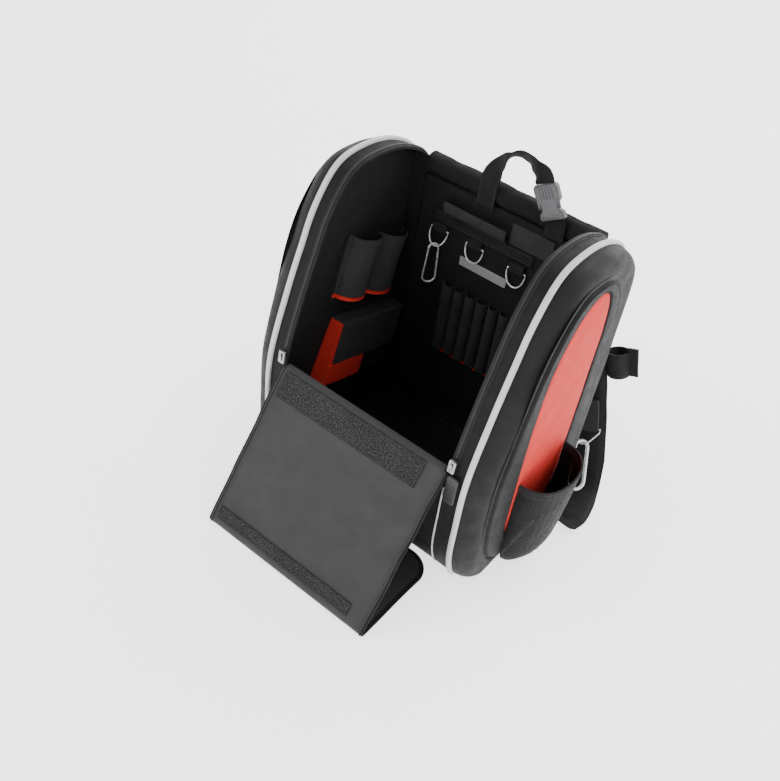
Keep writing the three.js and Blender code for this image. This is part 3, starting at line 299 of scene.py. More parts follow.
def skin(name, rows, loop=False, ends=True):
    """Quads through closed rings of equal point counts. loop joins the last ring to the first, and
    ends closes the first and last rings."""
    n, m = len(rows[0]), len(rows)
    verts = [p for r in rows for p in r]
    around, some = [0.0], range(0, m, max(1, m // 8))
    for j in range(n):
        around.append(around[-1] + sum((rows[i][(j + 1) % n] - rows[i][j]).length
                                       for i in some) / len(some))
    along = [0.0]
    for i in range(m):
        after = rows[(i + 1) % m]
        along.append(along[-1] + max((after[j] - rows[i][j]).length for j in range(0, n, max(1, n // 6))))
    faces, uvs = [], []
    for i in range(m if loop else m - 1):
        for j in range(n):
            a, b = i * n + j, i * n + (j + 1) % n
            c, d = ((i + 1) % m) * n + (j + 1) % n, ((i + 1) % m) * n + j
            faces.append((a, b, c, d))
            uvs.append(((around[j], along[i]), (around[j + 1], along[i]),
                        (around[j + 1], along[i + 1]), (around[j], along[i + 1])))
    if ends and not loop:
        for i, r in ((0, rows[0]), (m - 1, rows[-1])):
            centre = sum(r, Vector()) / n
            verts.append(centre)
            for j in range(n):
                a, b = i * n + j, i * n + (j + 1) % n
                faces.append((b, a, len(verts) - 1) if i == 0 else (a, b, len(verts) - 1))
                uvs.append(tuple((around[0] + d.x + d.y, d.z)
                                 for d in (verts[k] - centre for k in faces[-1])))
    mesh = bpy.data.meshes.new(name)
    mesh.from_pydata(verts, [], faces)
    layer = mesh.uv_layers.new(name="cloth")
    layer.data.foreach_set("uv", [c for f in uvs for uv in f for c in uv])
    bm = bmesh.new()
    bm.from_mesh(mesh)
    bmesh.ops.recalc_face_normals(bm, faces=bm.faces)
    bm.to_mesh(mesh)
    bm.free()
    return link(name, mesh)


def box_uv(mesh):
    layer = mesh.uv_layers.get("cloth") or mesh.uv_layers.new(name="cloth")
    for p in mesh.polygons:
        a = max(range(3), key=lambda k: abs(p.normal[k]))
        u, v = [(1, 2), (0, 2), (0, 1)][a]
        for li in p.loop_indices:
            co = mesh.vertices[mesh.loops[li].vertex_index].co
            layer.data[li].uv = (co[u], co[v])


def copy_of(node, tidy=True):
    obj = NODES[node].copy()
    obj.data = NODES[node].data.copy()
    obj.name = node + "_soft"
    obj.parent = None
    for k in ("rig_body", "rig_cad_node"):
        if k in obj:
            del obj[k]
    bpy.context.scene.collection.objects.link(obj)
    bm = bmesh.new()
    bm.from_mesh(obj.data)
    bmesh.ops.remove_doubles(bm, verts=bm.verts, dist=2e-6)
    if tidy:
        bmesh.ops.dissolve_limit(bm, angle_limit=0.004, verts=bm.verts, edges=bm.edges)
    bm.to_mesh(obj.data)
    bm.free()
    while obj.data.uv_layers:
        obj.data.uv_layers.remove(obj.data.uv_layers[0])
    return obj


def apply_modifiers(obj):
    bpy.context.view_layer.update()
    mesh = bpy.data.meshes.new_from_object(obj.evaluated_get(bpy.context.evaluated_depsgraph_get()))
    obj.modifiers.clear()
    obj.data = mesh


def rounded(obj, width=0.0007, segments=2, angle=35):
    m = obj.modifiers.new("edges", "BEVEL")
    m.width, m.segments, m.limit_method, m.angle_limit = width, segments, "ANGLE", math.radians(angle)
    m.use_clamp_overlap = True
    apply_modifiers(obj)


def refine(obj, size):
    """Splits edges until none is much longer than size"""
    bm = bmesh.new()
    bm.from_mesh(obj.data)
    bmesh.ops.triangulate(bm, faces=bm.faces)
    for _ in range(9):
        long = [e for e in bm.edges if e.calc_length() > 1.5 * size]
        if not long:
            break
        bmesh.ops.subdivide_edges(bm, edges=long, cuts=1)
        bmesh.ops.triangulate(bm, faces=bm.faces)
    bm.to_mesh(obj.data)
    bm.free()


def shift(obj, move):
    """Moves each vertex by move(position), rounded cloth and wrinkles"""
    for v in obj.data.vertices:
        v.co += move(v.co)


def creasing(size, depth, seed=0.0):
    off = Vector((seed, 1.7 * seed, 0.3 * seed))

    def move(p):
        return noise.noise_vector(p / size + off) * depth
    return move


def soft(node, material, size, crease, edge=0.0006, sharp=40):
    """Cloth in a node's own shape, with rounded edges and an uneven surface"""
    obj = copy_of(node)
    rounded(obj, edge)
    refine(obj, size)
    shift(obj, creasing(*crease))
    box_uv(obj.data)
    return finish_piece(obj, material, node=node, sharp=sharp)


def hard(node, material, edge, size):
    """Plastic or cast metal in a node's own shape, with rounded edges"""
    obj = copy_of(node)
    rounded(obj, edge, 3, 30)
    refine(obj, size)
    box_uv(obj.data)
    finish_piece(obj, material, node=node, sharp=35)


# Side outlines in (y, z), millimetres: the edge, the groove and the insert's seat round a side
STATIONS = [
    (0.866, 0, 0.748, 0.057, 0.648, 0.111), (0.973, 0.101, 0.866, 0.152, 0.718, 0.172),
    (1, 0.283, 0.906, 0.293, 0.732, 0.303), (0.993, 0.444, 0.903, 0.434, 0.735, 0.434),
    (0.899, 0.646, 0.852, 0.596, 0.732, 0.586), (0.826, 0.768, 0.782, 0.752, 0.698, 0.737),
    (0.748, 0.883, 0.685, 0.869, 0.631, 0.828), (0.614, 0.98, 0.564, 0.935, 0.53, 0.893),
    (0.43, 1, 0.413, 0.939, 0.413, 0.915), (0.211, 0.976, 0.289, 0.913, 0.329, 0.895),
    (0.034, 0.905, 0.195, 0.838, 0.282, 0.828), (0, 0.7, 0.168, 0.646, 0.275, 0.646),
    (0, 0.364, 0.168, 0.364, 0.282, 0.364), (0, 0.121, 0.188, 0.162, 0.302, 0.182),
    (0.044, 0, 0.279, 0.065, 0.379, 0.121), (0.463, 0, 0.513, 0.048, 0.513, 0.101),
]
DEPTH, HEIGHT, BACK_PAD, BASE = 298.0, 495.0, 18.0, 258.0
SHIFT = BASE / 2 - BACK_PAD
RIM, EDGE_X, FACE_X, FRAME_RISE, SHELL_TURN = 145.0, 175.0, 207.0, 4, 24.0
STEP = 8                      # samples between two stations
HINGE, ROLL = 3, 10           # the stations of the cover's fold and of the zips' back ends


def spline(points, closed=False, steps=STEP):
    """Centripetal curve through 2-D or 3-D points, as tuples"""
    n = len(points)
    out = []
    for i in range(n if closed else n - 1):
        if closed:
            p = [np.array(points[(i + k) % n], float) for k in (-1, 0, 1, 2)]
        else:
            p1, p2 = np.array(points[i], float), np.array(points[i + 1], float)
            p = [np.array(points[i - 1], float) if i else 2 * p1 - p2, p1, p2,
                 np.array(points[i + 2], float) if i + 2 < n else 2 * p2 - p1]
        d = [max(((p[k + 1] - p[k]) ** 2).sum() ** 0.25, 1e-4) for k in range(3)]
        t1 = (p[1] - p[0]) / d[0] - (p[2] - p[0]) / (d[0] + d[1]) + (p[2] - p[1]) / d[1]
        t2 = (p[2] - p[1]) / d[1] - (p[3] - p[1]) / (d[1] + d[2]) + (p[3] - p[2]) / d[2]
        t1, t2 = t1 * d[1], t2 * d[1]
        for k in range(steps):
            t = k / steps
            out.append(p[1] + t1 * t + (-3 * p[1] + 3 * p[2] - 2 * t1 - t2) * t * t
                       + (2 * p[1] - 2 * p[2] + t1 + t2) * t ** 3)
    if not closed:
        out.append(np.array(points[-1], float))
    return out


def outline(column):
    pts = [(BACK_PAD - r[column] * DEPTH, r[column + 1] * HEIGHT) for r in STATIONS]
    return [np.array((p[0], max(p[1], 0.0))) for p in spline(pts, True)]


def left_of(points, closed):
    """The unit vector to the left of a polyline at each point"""
    n, out = len(points), []
    for i in range(n):
        a = points[(i - 1) % n] if closed or i else points[i]
        b = points[(i + 1) % n] if closed or i < n - 1 else points[i]
        d = (b - a) / max(np.linalg.norm(b - a), 1e-9)
        out.append(np.array((-d[1], d[0])))
    return out


def moved(points, distance, closed=False):
    return [p + d * distance for p, d in zip(points, left_of(points, closed))]


edge, groove, seat = outline(0), outline(2), outline(4)
EDGE_LEFT = left_of(edge, True)


def inset(distance):
    return [np.array((min(p[0], 3 - distance), p[1])) for p in moved(edge, -distance, True)]


def at(x, yz):
    """Millimetres across, and (y, z), to a point of the frame in metres"""
    return Vector((x * MM, (yz[0] + SHIFT) * MM, yz[1] * MM))


def part_of(first, last):
    """Indices of the edge's samples between two station numbers"""
    return list(range(round(first * STEP), round(last * STEP) + 1))


def trim(name, indices, sides, section, node=None, material="black", sharp=38):
    """Sweeps a section along the edge. section holds (x, height over the edge) pairs"""
    rows = [[at(sides * x, edge[i] + EDGE_LEFT[i] * h) for x, h in section] for i in indices]
    return finish_piece(skin(name, rows), material, node=node, sharp=sharp)


def round_section(x0, x1, h0, h1, n=16, power=0.6):
    """A section with rounded top corners between two x and two heights"""
    cx, rx = (x0 + x1) / 2, (x1 - x0) / 2
    out = []
    for k in range(n + 1):
        a = math.pi * k / n
        c, s = math.cos(a), math.sin(a)
        out.append((cx - rx * math.copysign(abs(c) ** power, c), h0 + (h1 - h0) * s ** power))
    return out


def shell(name, s):
    def ring(x, pts):
        return [at(s * x, p) for p in pts]

    def toward(a, b, d):
        return [p + (q - p) * min(d / max(np.linalg.norm(q - p), 1e-6), 1) for p, q in zip(a, b)]
    x0 = EDGE_X + GAP

    def turned(t, wall):
        turn = wall + (SHELL_TURN - wall) * (1 - math.cos(t))
        return ring(x0 + (FACE_X - wall - x0) * math.sin(t), toward(edge, groove, turn))
    flat_seat = FACE_X + FRAME_RISE
    middle = [sum(seat) / len(seat)] * len(seat)
    rows = [ring(FACE_X - 6, seat), turned(math.pi / 2, 6), turned(math.pi / 4, 4), turned(0, 4)]
    rows += [turned(math.pi / 2 * k / 9, 0) for k in range(10)]
    rows += [ring(FACE_X + 0.4, toward(groove, edge, 8)), ring(FACE_X + 0.5, toward(groove, edge, 3.5))]
    rows += [ring(FACE_X - 0.3, toward(groove, edge, 1.6)), ring(FACE_X - 2.2, toward(groove, seat, 0.4)),
             ring(FACE_X - 2.4, toward(groove, seat, 2.2)), ring(FACE_X - 0.5, toward(groove, seat, 3.6)),
             ring(FACE_X + 2.6, toward(groove, seat, 4.6)),
             ring(flat_seat - 0.3, toward(groove, seat, 6.2))]
    rows += [ring(flat_seat + 0.3 * math.sin(math.pi * k / 4), [g + (q - g) * (0.25 + 0.6 * k / 4)
                                                                  for g, q in zip(groove, seat)])
                                                                  for k in range(5)]
    rows += [ring(flat_seat, toward(seat, groove, 2.2)), ring(flat_seat - 0.5, toward(seat, groove, 0.6)),
             ring(FACE_X + 1.2, toward(seat, middle, 0.2)), ring(FACE_X, toward(seat, middle, 1.4))]
    obj = skin(name, rows)
    shift(obj, creasing(0.055, 0.0005, 3 * s))
    return finish_piece(obj, "moulded", node="side_shell_" + ("right" if s > 0 else "left"), sharp=60)


def insert(name, s):
    middle = sum(seat) / len(seat)
    rows = []
    for share, up in ((0.02, 0.35), (0.02, 1.2), (0.035, 2.3), (0.06, 3.1), (0.1, 3.7), (0.16, 4.1),
                      (0.25, 4.5),
                      (0.36, 4.8), (0.5, 5.1), (0.65, 5.25), (0.8, 5.3), (0.93, 5.3)):
        rows.append([at(s * (FACE_X + up), p + (middle - p) * share) for p in seat])
    obj = skin(name, rows)
    shift(obj, creasing(0.045, 0.0006, 9 + s))
    box_uv(obj.data)
    return finish_piece(obj, "red", node="insert_" + ("right" if s > 0 else "left"), sharp=50)


def band(name, s):
    inner = inset(3.0)
    half = [(RIM, 0.0), (RIM + 3, 0.25), (RIM + 15, 0.5), (EDGE_X - 3, 0.25), (EDGE_X, 0.0)]
    rows = []
    for i in range(len(edge)):
        out = [at(s * x, edge[i] + EDGE_LEFT[i] * (h if edge[i][1] > 1 else 0)) for x, h in half]
        rows.append(out + [at(s * EDGE_X, inner[i]), at(s * RIM, inner[i])])
    return finish_piece(skin(name, rows, loop=True), "band",
                        node="side_band_" + ("right" if s > 0 else "left"))


FINE = 1 / 3                  # trims start this share of a station above the floor
for word, s in (("left", -1), ("right", 1)):
    shell("shell_" + word, s)
    insert("insert_cloth_" + word, s)
    band("band_" + word, s)
    trim("piping_cord_" + word, part_of(FINE, ROLL), s, round_section(EDGE_X - 4, EDGE_X + 4, 0.3, 4.8),
         "piping_" + word, "piping")
    trim("corner_piping_" + word, part_of(FINE, HINGE - FINE), s,
         round_section(RIM - 1, RIM + 1, 0.3, 2.3, 8),
         "front_piping_" + word, "piping")
    trim("tape_" + word, part_of(HINGE, ROLL), s,
         [(RIM, 0.3), (RIM, 1.1), (RIM + 1, 1.3), (RIM + 3.6, 1.3), (RIM + 4.4, 2.3), (RIM + 5.6, 2.5),
          (RIM + 6.8, 2.3), (RIM + 7.6, 1.3), (RIM + 10, 1.3), (RIM + 11, 1.1), (RIM + 11, 0.3)],
         "zip_tape_" + word, "tape", sharp=70)


# Sheets and strips
def ribbon_skin(name, rows):
    """Like skin, for flat rings: the ends are closed straight across from one face to the other"""
    obj = skin(name, rows, ends=False)
    bm = bmesh.new()
    bm.from_mesh(obj.data)
    bm.verts.ensure_lookup_table()
    n, layer = len(rows[0]), bm.loops.layers.uv["cloth"]
    for base in (0, (len(rows) - 1) * n):
        for j in range(n // 2 - 1):
            f = bm.faces.new([bm.verts[base + k] for k in (j, j + 1, n - 2 - j, n - 1 - j)])
            for loop in f.loops:
                loop[layer].uv = (loop.vert.co.x + loop.vert.co.y, loop.vert.co.z)
    bmesh.ops.recalc_face_normals(bm, faces=bm.faces)
    bm.to_mesh(obj.data)
    bm.free()
    return obj


def flat_section(width, thickness, n=8, crown=0.0, round_edge=0.45):
    """Ring of a strip's section, lower face first: (across, up) pairs with rounded edges"""
    w, h = width / 2, thickness / 2
    r = min(h, w) * 2 * round_edge
    xs = [-w + r * 0.25, -w + r] + [(-w + r) + (2 * w - 2 * r) * k / n for k in range(1, n)] + [w - r,
                                                                                                w
                                                                                                - r * 0.25]

    def bow(x):
        return crown * max(0.0, 1 - (x / w) ** 2)
    low = [(x, -h * (0.72 if abs(x) > w - r * 0.5 else 1) - bow(x)) for x in xs]
    high = [(x, h * (0.72 if abs(x) > w - r * 0.5 else 1) + bow(x)) for x in reversed(xs)]
    return [(-w, -h * 0.2)] + low + [(w, -h * 0.2), (w, h * 0.2)] + high + [(-w, h * 0.2)]


def strip_rows(rows, section, steps=8):
    """rows holds (x, y, z, ax, ay, az, wide) in bag millimetres: a point, the direction of the
    strip's width and a share of the width. Gives rings of the section along a smooth curve."""
    line = spline([r[:3] for r in rows], steps=steps)
    out = []
    for i, p in enumerate(line):
        k = min(i // steps, len(rows) - 2)
        f = i / steps - k
        along = line[min(i + 1, len(line) - 1)] - line[max(i - 1, 0)]
        along = along / np.linalg.norm(along)
        g = f * f * (3 - 2 * f)
        a = np.array(rows[k][3:6], float) * (1 - g) + np.array(rows[k + 1][3:6], float) * g
        a = a - along * a.dot(along)
        a = a / np.linalg.norm(a)
        face = np.cross(along, a)
        wide = rows[k][6] * (1 - f) + rows[k + 1][6] * f
        ring = [p + a * (x * wide) + face * y for x, y in section]
        out.append([Vector((q[0], q[1] + SHIFT, q[2])) * MM for q in ring])
    return out, line


# Small repeated details along a line of points: teeth of a zip, stitches of a seam
def along_line(points, pitch):
    """Points every pitch along a polyline, with the direction there and the index before"""
    out, left = [], 0.0
    for i in range(len(points) - 1):
        a, b = points[i], points[i + 1]
        d = (b - a).length
        while left <= d and d > 0:
            out.append((a.lerp(b, left / d), (b - a) / d, i))
            left += pitch
        left -= d
    return out


TEETH, THREAD = 0.0021, 0.0007  # pitch of zip teeth and thickness of a seam's thread


def beads(name, points, normals, pitch, size, material, lift=0.0):
    """Rounded blocks along a line. size is (along, across, high)"""
    verts, faces = [], []
    lx, wx, hx = (v / 2 for v in size)
    c = 0.65
    ring = [(-1, -c), (-c, -1), (c, -1), (1, -c), (1, c), (c, 1), (-c, 1), (-1, c)]
    for p, along, i in along_line(points, pitch):
        n = normals[i] if isinstance(normals, list) else normals
        across = along.cross(n).normalized()
        up = across.cross(along).normalized()
        base = len(verts)
        for level, share in ((-0.2, 1.0), (0.55, 0.95), (1.0, 0.55)):
            for x, y in ring:
                verts.append(p + up * (lift + hx * (level + 0.2)) + along * (x * lx * share)
                             + across * (y * wx * share))
        for lev in range(2):
            for k in range(8):
                a, b = base + lev * 8 + k, base + lev * 8 + (k + 1) % 8
                faces.append((a, b, b + 8, a + 8))
        faces.append(tuple(base + 16 + k for k in range(8)))
        faces.append(tuple(base + 7 - k for k in range(8)))
    mesh = bpy.data.meshes.new(name)
    mesh.from_pydata(verts, [], faces)
    box_uv(mesh)
    return finish_piece(link(name, mesh), material)


def stitches(name, points, normals, pitch=0.0045):
    return beads(name, points, normals, pitch, (pitch * 0.68, THREAD, THREAD), "thread", THREAD / 7)


def block(name, centre, along, size, material):
    """One rounded block that faces the front. size is (along, across, high)"""
    beads(name, [centre, centre + along * 1e-5], Vector((0, -1, 0)), 1.0, size, material)


# Zip teeth along the rims
for word, s in (("left", -1), ("right", 1)):
    ids = part_of(HINGE + 0.25, ROLL)
    pts = [at(s * (RIM + 5.6), edge[i] + EDGE_LEFT[i] * 2.35) for i in ids]
    ups = [Vector((0, EDGE_LEFT[i][0], EDGE_LEFT[i][1])) for i in ids]
    beads("rim_teeth_" + word, pts, ups, TEETH, (0.0011, 0.0032, 0.0011), "coil")
    for k, (x, h) in enumerate(((RIM + 2.0, 1.25), (RIM + 9.3, 1.25))):
        stitches(f"rim_stitch_{word}_{k}", [at(s * x, edge[i] + EDGE_LEFT[i] * h) for i in ids], ups)

# Front cover: its middle line in (y, z) from the hinge over the fold on the floor to its tail
FLAP_HALF, FLAP_CLOTH, FLAP_CORNER, TUCK = 148.0, 2.5, 42.0, 6.8
FLAP_REACH, FLAP_TAIL, FLAP_LIFT, FOLD_R = 424.0, 162, 0.9, 5.0
front_top = edge[HINGE * STEP]


def flap_line():
    z = FLAP_LIFT + FLAP_CLOTH / 2
    up = front_top[1] + GAP + FLAP_CLOTH / 2
    over = (front_top[0] - 2 * FLAP_CLOTH, up - FLAP_CLOTH)
    centre = (FOLD_R - FLAP_REACH, z + FOLD_R)
    slope = math.atan2(over[1] - centre[1], over[0] - centre[0])
    a0, a1 = slope + math.pi / 2, 1.5 * math.pi
    turns = [a0 + (a1 - a0) * k / 12 for k in range(13)]
    fold = [(centre[0] + FOLD_R * math.cos(a), centre[1] + FOLD_R * math.sin(a)) for a in turns]
    rough = [(front_top[0] + 3, up), (front_top[0], up), over, *fold, (centre[0] + FLAP_TAIL, z)]
    out = []
    for a, b in zip(rough, rough[1:]):
        a, b = np.array(a), np.array(b)
        n = max(1, int(np.linalg.norm(b - a) / 2.5))
        out += [a + (b - a) * k / n for k in range(n)]
    out.append(np.array(rough[-1], float))
    for _ in range(2):
        out = [out[0]] + [(a + 2 * b + c) / 4 for a, b, c in zip(out, out[1:], out[2:])] + [out[-1]]
    return out


FLAP = flap_line()
FLAP_S = [0.0]
for a, b in zip(FLAP, FLAP[1:]):
    FLAP_S.append(FLAP_S[-1] + float(np.linalg.norm(b - a)))
FLAP_END = FLAP_S[-1]
FOLD_S = FLAP_S[min(range(len(FLAP)), key=lambda i: FLAP[i][0])]


def flap_wave(s, x):
    """How far the cover's cloth stands off its plane, millimetres, with its soft wrinkles"""
    p = Vector((x / 46.0, s / 60.0, 3.7))
    h = 1.2 * noise.noise(p) + 0.5 * noise.noise(p * 2.3)
    if s < FOLD_S:
        along = min(1.0, max(0.0, (s - 14) / 50)) * min(1.0, max(0.0, (FOLD_S - 8 - s) / 30))
        right = max(0.0, (x - 20) / 128) ** 1.3
        ridge = math.sin((x + 0.5 * s) / 8.5 + 2.4 * noise.noise(Vector((x / 90, s / 120, 1.1))))
        h += along * right * 3.2 * ridge * (0.55 + 0.45 * noise.noise(Vector((x / 30, s / 70, 8.0))))
        sag = math.sin(math.pi * min(1, max(0, (s - 10) / (FOLD_S - 18)))) * (1 - (x / FLAP_HALF) ** 2)
        h -= 2.4 * sag * along
        return h * min(1.0, max(0.0, (s - 4) / 14)) * min(1.0, max(0.12, (FOLD_S - s) / 16))
    far = min(1.0, max(0.0, (s - FOLD_S - 6) / 40))
    lift = 5.5 * far * max(0.0, (x - 70) / 78) ** 2 * (0.6 + 0.4 * math.sin(s / 26.0))
    return -(abs(h) * 0.7 * far + lift)


def on_flap(s, x, h=0.0):
    s = min(max(s, 0.0), FLAP_END)
    i = min(max(np.searchsorted(FLAP_S, s) - 1, 0), len(FLAP) - 2)
    a, b = FLAP[i], FLAP[i + 1]
    f = (s - FLAP_S[i]) / (FLAP_S[i + 1] - FLAP_S[i])
    before, after = FLAP[max(i - 1, 0)], FLAP[min(i + 2, len(FLAP) - 1)]
    t = (b - before) * (1 - f) + (after - a) * f
    t = t / np.linalg.norm(t)
    p = a + (b - a) * f
    h = h + flap_wave(s, x)
    return at(x, (p[0] + t[1] * h, p[1] - t[0] * h))


def flap_up(s):
    i = min(max(int(np.searchsorted(FLAP_S, s)) - 1, 0), len(FLAP) - 2)
    t = FLAP[i + 1] - FLAP[i]
    t = t / np.linalg.norm(t)
    return Vector((0, t[1], -t[0]))


def half_width(s, inset):
    half, end, r = FLAP_HALF - inset, FLAP_END - inset, FLAP_CORNER - inset
    if s <= end - r:
        return half
    return half - r + math.sqrt(max(0.0, r * r - (s - end + r) ** 2))


def cover():
    end = FLAP_END - TUCK
    stops = [end * k / 170 for k in range(159)]
    stops += [stops[-1] + (end - stops[-1]) * math.sin(math.pi / 2 * k / 16) for k in range(1, 17)]
    rows, t, n = [], FLAP_CLOTH / 2 - 0.35, 56
    for s in stops:
        w = half_width(s, TUCK)
        xs = [w * math.sin(math.pi * (k / (n - 1) - 0.5)) * 0.25 + w * (2 * k / (n - 1) - 1) * 0.75
              for k in range(n)]
        rows.append([on_flap(s, x, -t) for x in xs] + [on_flap(s, x, t) for x in reversed(xs)])
    obj = ribbon_skin("cover_cloth_sheet", rows)
    finish_piece(obj, "cover", node="front_cover", sharp=60)
    return obj


def rail(inset):
    """Points (s, x) of the cover's edge at an inset: down the side, round the corner, along the end"""
    end, half, r = FLAP_END - inset, FLAP_HALF - inset, FLAP_CORNER - inset
    start = 9.0
    side_s = [start + (FLAP_END - FLAP_CORNER - start) * k / 130 for k in range(130)]
    out = [(s, half) for s in side_s]
    out += [(end - r + r * math.sin(math.pi / 2 * k / 20), half - r + r * math.cos(math.pi / 2 * k / 20))
            for k in range(21)]
    out += [(end, (half - r) * (1 - k / 26)) for k in range(1, 26)] + [(end, 0.3)]
    return out


COVER_SECTION = [(8.2, -0.7), (6.5, -1.0), (3, -1.2), (0.6, -1.0), (0.0, -0.4), (0.0, 0.6), (0.7, 1.3),
                 (1.6, 1.45),
                 (2.3, 0.95), (3.0, 0.85), (3.6, 1.5), (4.6, 1.75), (5.6, 1.5), (6.2, 0.85), (7.4, 0.8),
                 (8.2, 0.6)]


def cover_edge(word, s):
    rails = {i: rail(i) for i, _ in COVER_SECTION}
    count = len(rails[0.0])
    rows = [[on_flap(rails[i][k][0], s * rails[i][k][1], h) for i, h in COVER_SECTION]
            for k in range(count)]
    finish_piece(skin("cover_edge_" + word, rows), "tape", node="cover_zip_" + word, sharp=70)
    teeth = [on_flap(a, s * x, 1.62) for a, x in rail(4.6)]
    ups = [flap_up(a) for a, x in rail(4.6)]
    beads("cover_teeth_" + word, teeth, ups, TEETH, (0.0011, 0.0030, 0.0010), "coil")
    seam = rail(10.6)
    stitches("cover_stitch_" + word, [on_flap(a, s * x, 0.95) for a, x in seam],
             [flap_up(a) for a, x in seam])


def grip(name, node, s0, s1, x0, x1):
    h, top = FLAP_CLOTH / 2 - 0.2, FLAP_CLOTH / 2 + 1.1
    n = 60
    rows = []
    for k in range(15):
        s = s0 + (s1 - s0) * k / 14
        xs = [x0 + (x1 - x0) * j / n for j in range(n + 1)]
        rough = [0.35 * noise.noise(Vector((x / 4.0, s / 4.0, 5.0))) for x in xs]
        rows.append([on_flap(s, x, h) for x in xs] + [on_flap(s, x, top + r) for x,
                                                      r in zip(reversed(xs), reversed(rough))])
    finish_piece(ribbon_skin(name, rows), "grip", node=node, sharp=50)
    loop = [(s0 + 2, x0 + 2), (s0 + 2, x1 - 2), (s1 - 2, x1 - 2), (s1 - 2, x0 + 2), (s0 + 2, x0 + 2)]
    pts = []
    for (sa, xa), (sb, xb) in zip(loop, loop[1:]):
        m = max(2, int(max(abs(sb - sa), abs(xb - xa)) / 4))
        pts += [(sa + (sb - sa) * k / m, xa + (xb - xa) * k / m) for k in range(m)]
    stitches(name + "_seam", [on_flap(s, x, top + 0.15) for s, x in pts], [flap_up(s) for s, x in pts])


cover_sheet = cover()
for word, s in (("left", -1), ("right", 1)):
    cover_edge(word, s)
top_s = FLAP_S[min(range(len(FLAP) // 3), key=lambda i: abs(FLAP_S[i] - 9.7))]
GRIP_LEFT, GRIP_RIGHT = -135.5, 114.8
grip("grip_upper", "cover_grip_top", top_s, top_s + 40, GRIP_LEFT, GRIP_RIGHT)
grip("grip_lower", "cover_grip_bottom", FOLD_S - 28, FOLD_S - 9, GRIP_LEFT, GRIP_RIGHT)


# Straps, handle and lower webbing
STRAP_SPREAD, STRAP_FLOOR = 80, 9.9
STRAP_ROWS = [
    (0.41, 0.32, 0.855, 1), (0.44, 0.5, 0.79, 1), (0.52, 0.83, 0.677, 1), (0.62, 0.975, 0.545, 1),
    (0.725, 1, 0.424, 1), (0.82, 0.965, 0.303, 1), (0.918, 0.875, 0.192, 0.97), (1.005, 0.725, 0.097, 0.94),
    (1.07, 0.45, 0.034, 0.9), (1.13, 0.05, 0.018, 0.88), (1.16, -0.35, 0.018, 0.85),
    (1.15, -0.62, 0.018, 0.8),
]
STRAP_SECTION = flat_section(56, 10.0, 10, crown=1.6, round_edge=0.5)
STRAP_SECTION = ([(-33, -1.0), (-30.5, -1.3)] + [(x, y) for x, y in STRAP_SECTION if y < 0 and abs(x) < 28]
                 + [(30.5, -1.3), (33, -1.0), (33, 1.0), (30.5, 1.3)]
                 + [(x, y) for x, y in STRAP_SECTION if y > 0 and abs(x) < 28] + [(-30.5, 1.3), (-33, 1.0)])


for word, s in (("left", -1), ("right", 1)):
    rows = [(s * o * FACE_X, b * STRAP_SPREAD, max(u * HEIGHT, STRAP_FLOOR), 1, s * 0.12, 0, w) for o, b, u,
            w in STRAP_ROWS]
    rings, _ = strip_rows(rows, STRAP_SECTION, 10)
    obj = skin("padded_strap_" + word, rings)
    shift(obj, creasing(0.03, 0.0007, 5 + s))
    finish_piece(obj, "strap", node="shoulder_strap_" + word, sharp=70)
    for k, share in enumerate((-29.0, 29.0)):
        for face in (-1, 1):
            line, _ = strip_rows(rows, [(share, face * 1.5), (share, face * 2.4)], 10)
            pts = [r[0] for r in line]
            stitches(f"strap_stitch_{word}_{k}_{'in' if face > 0 else 'out'}", pts,
                     [(r[1] - r[0]).normalized() for r in line], 0.005)
    web = [(s * o * FACE_X, -0.8 * STRAP_SPREAD, 1.55 + r * HEIGHT, 0, 1, 0, 1)
           for o, r in ((1.12, 0.004), (1.06, 0), (1.0, 0), (0.937, 0))]
    rings, _ = strip_rows(web, flat_section(20, 1.5, 6), 8)
    finish_piece(skin("strap_end_webbing_" + word, rings), "webbing", node="strap_webbing_" + word,
                 sharp=60)

LEAN = math.radians(31)
B_AT, B_UP, B_ACROSS = (np.array((64.0, -7.3, 477.37)), np.array((-math.sin(LEAN), 0, math.cos(LEAN))),
                        np.array((math.cos(LEAN), 0, math.sin(LEAN))))
ARCH = [(0.01, 0.2, 0, 1, 0, 0), (0.14, 0.67, -2, 0.8, -0.5, 0.3), (0.3, 0.93, -4, 0.4, -0.65, 0.6),
        (0.48, 1, -4, 0.1, -0.65, 0.75), (0.65, 0.92, 0, 0.4, -0.45, 0.8)]
handle_rows = [(-34, -3.4, 424.67, 1, 0, 0, 1), (-34, -3.4, 443.5, 1, 0, 0, 1)]
handle_rows += [(-34 + a * 98, -3.4 - o, 458.37 + u * 60, x, y, z, 1) for a, u, o, x, y, z in ARCH]
handle_rows += [(*(B_AT + B_UP * (25.3 + 9 * k)), *B_ACROSS, 1) for k in (1, 0)]
WEB_SECTION = flat_section(30, 2.2, 8)
rings, _ = strip_rows(handle_rows, WEB_SECTION, 12)
finish_piece(skin("handle_strap", rings), "webbing", node="handle_webbing", sharp=60)
for k, x in enumerate((-12.6, 12.6)):
    line, _ = strip_rows(handle_rows, [(x, -1.15), (x, -2)], 12)
    stitches(f"handle_stitch_{k}", [r[0] for r in line], [(r[1] - r[0]).normalized() for r in line], 0.004)
lower_rows = [(*(B_AT - B_UP * (25.3 + 6 * k)), *B_ACROSS, 1) for k in (0, 1)]
foot = B_AT - B_UP * 25.3
lower_rows.append((foot[0] + 4, -3.4, 424.67, 1, 0, 0, 1))
rings, _ = strip_rows(lower_rows, WEB_SECTION, 12)
finish_piece(skin("lower_strap", rings), "webbing", node="lower_webbing", sharp=60)


# Buckle: softened edges, ribs on its socket, and a prong at each side
hard("handle_buckle", "buckle", 0.0016, 0.004)


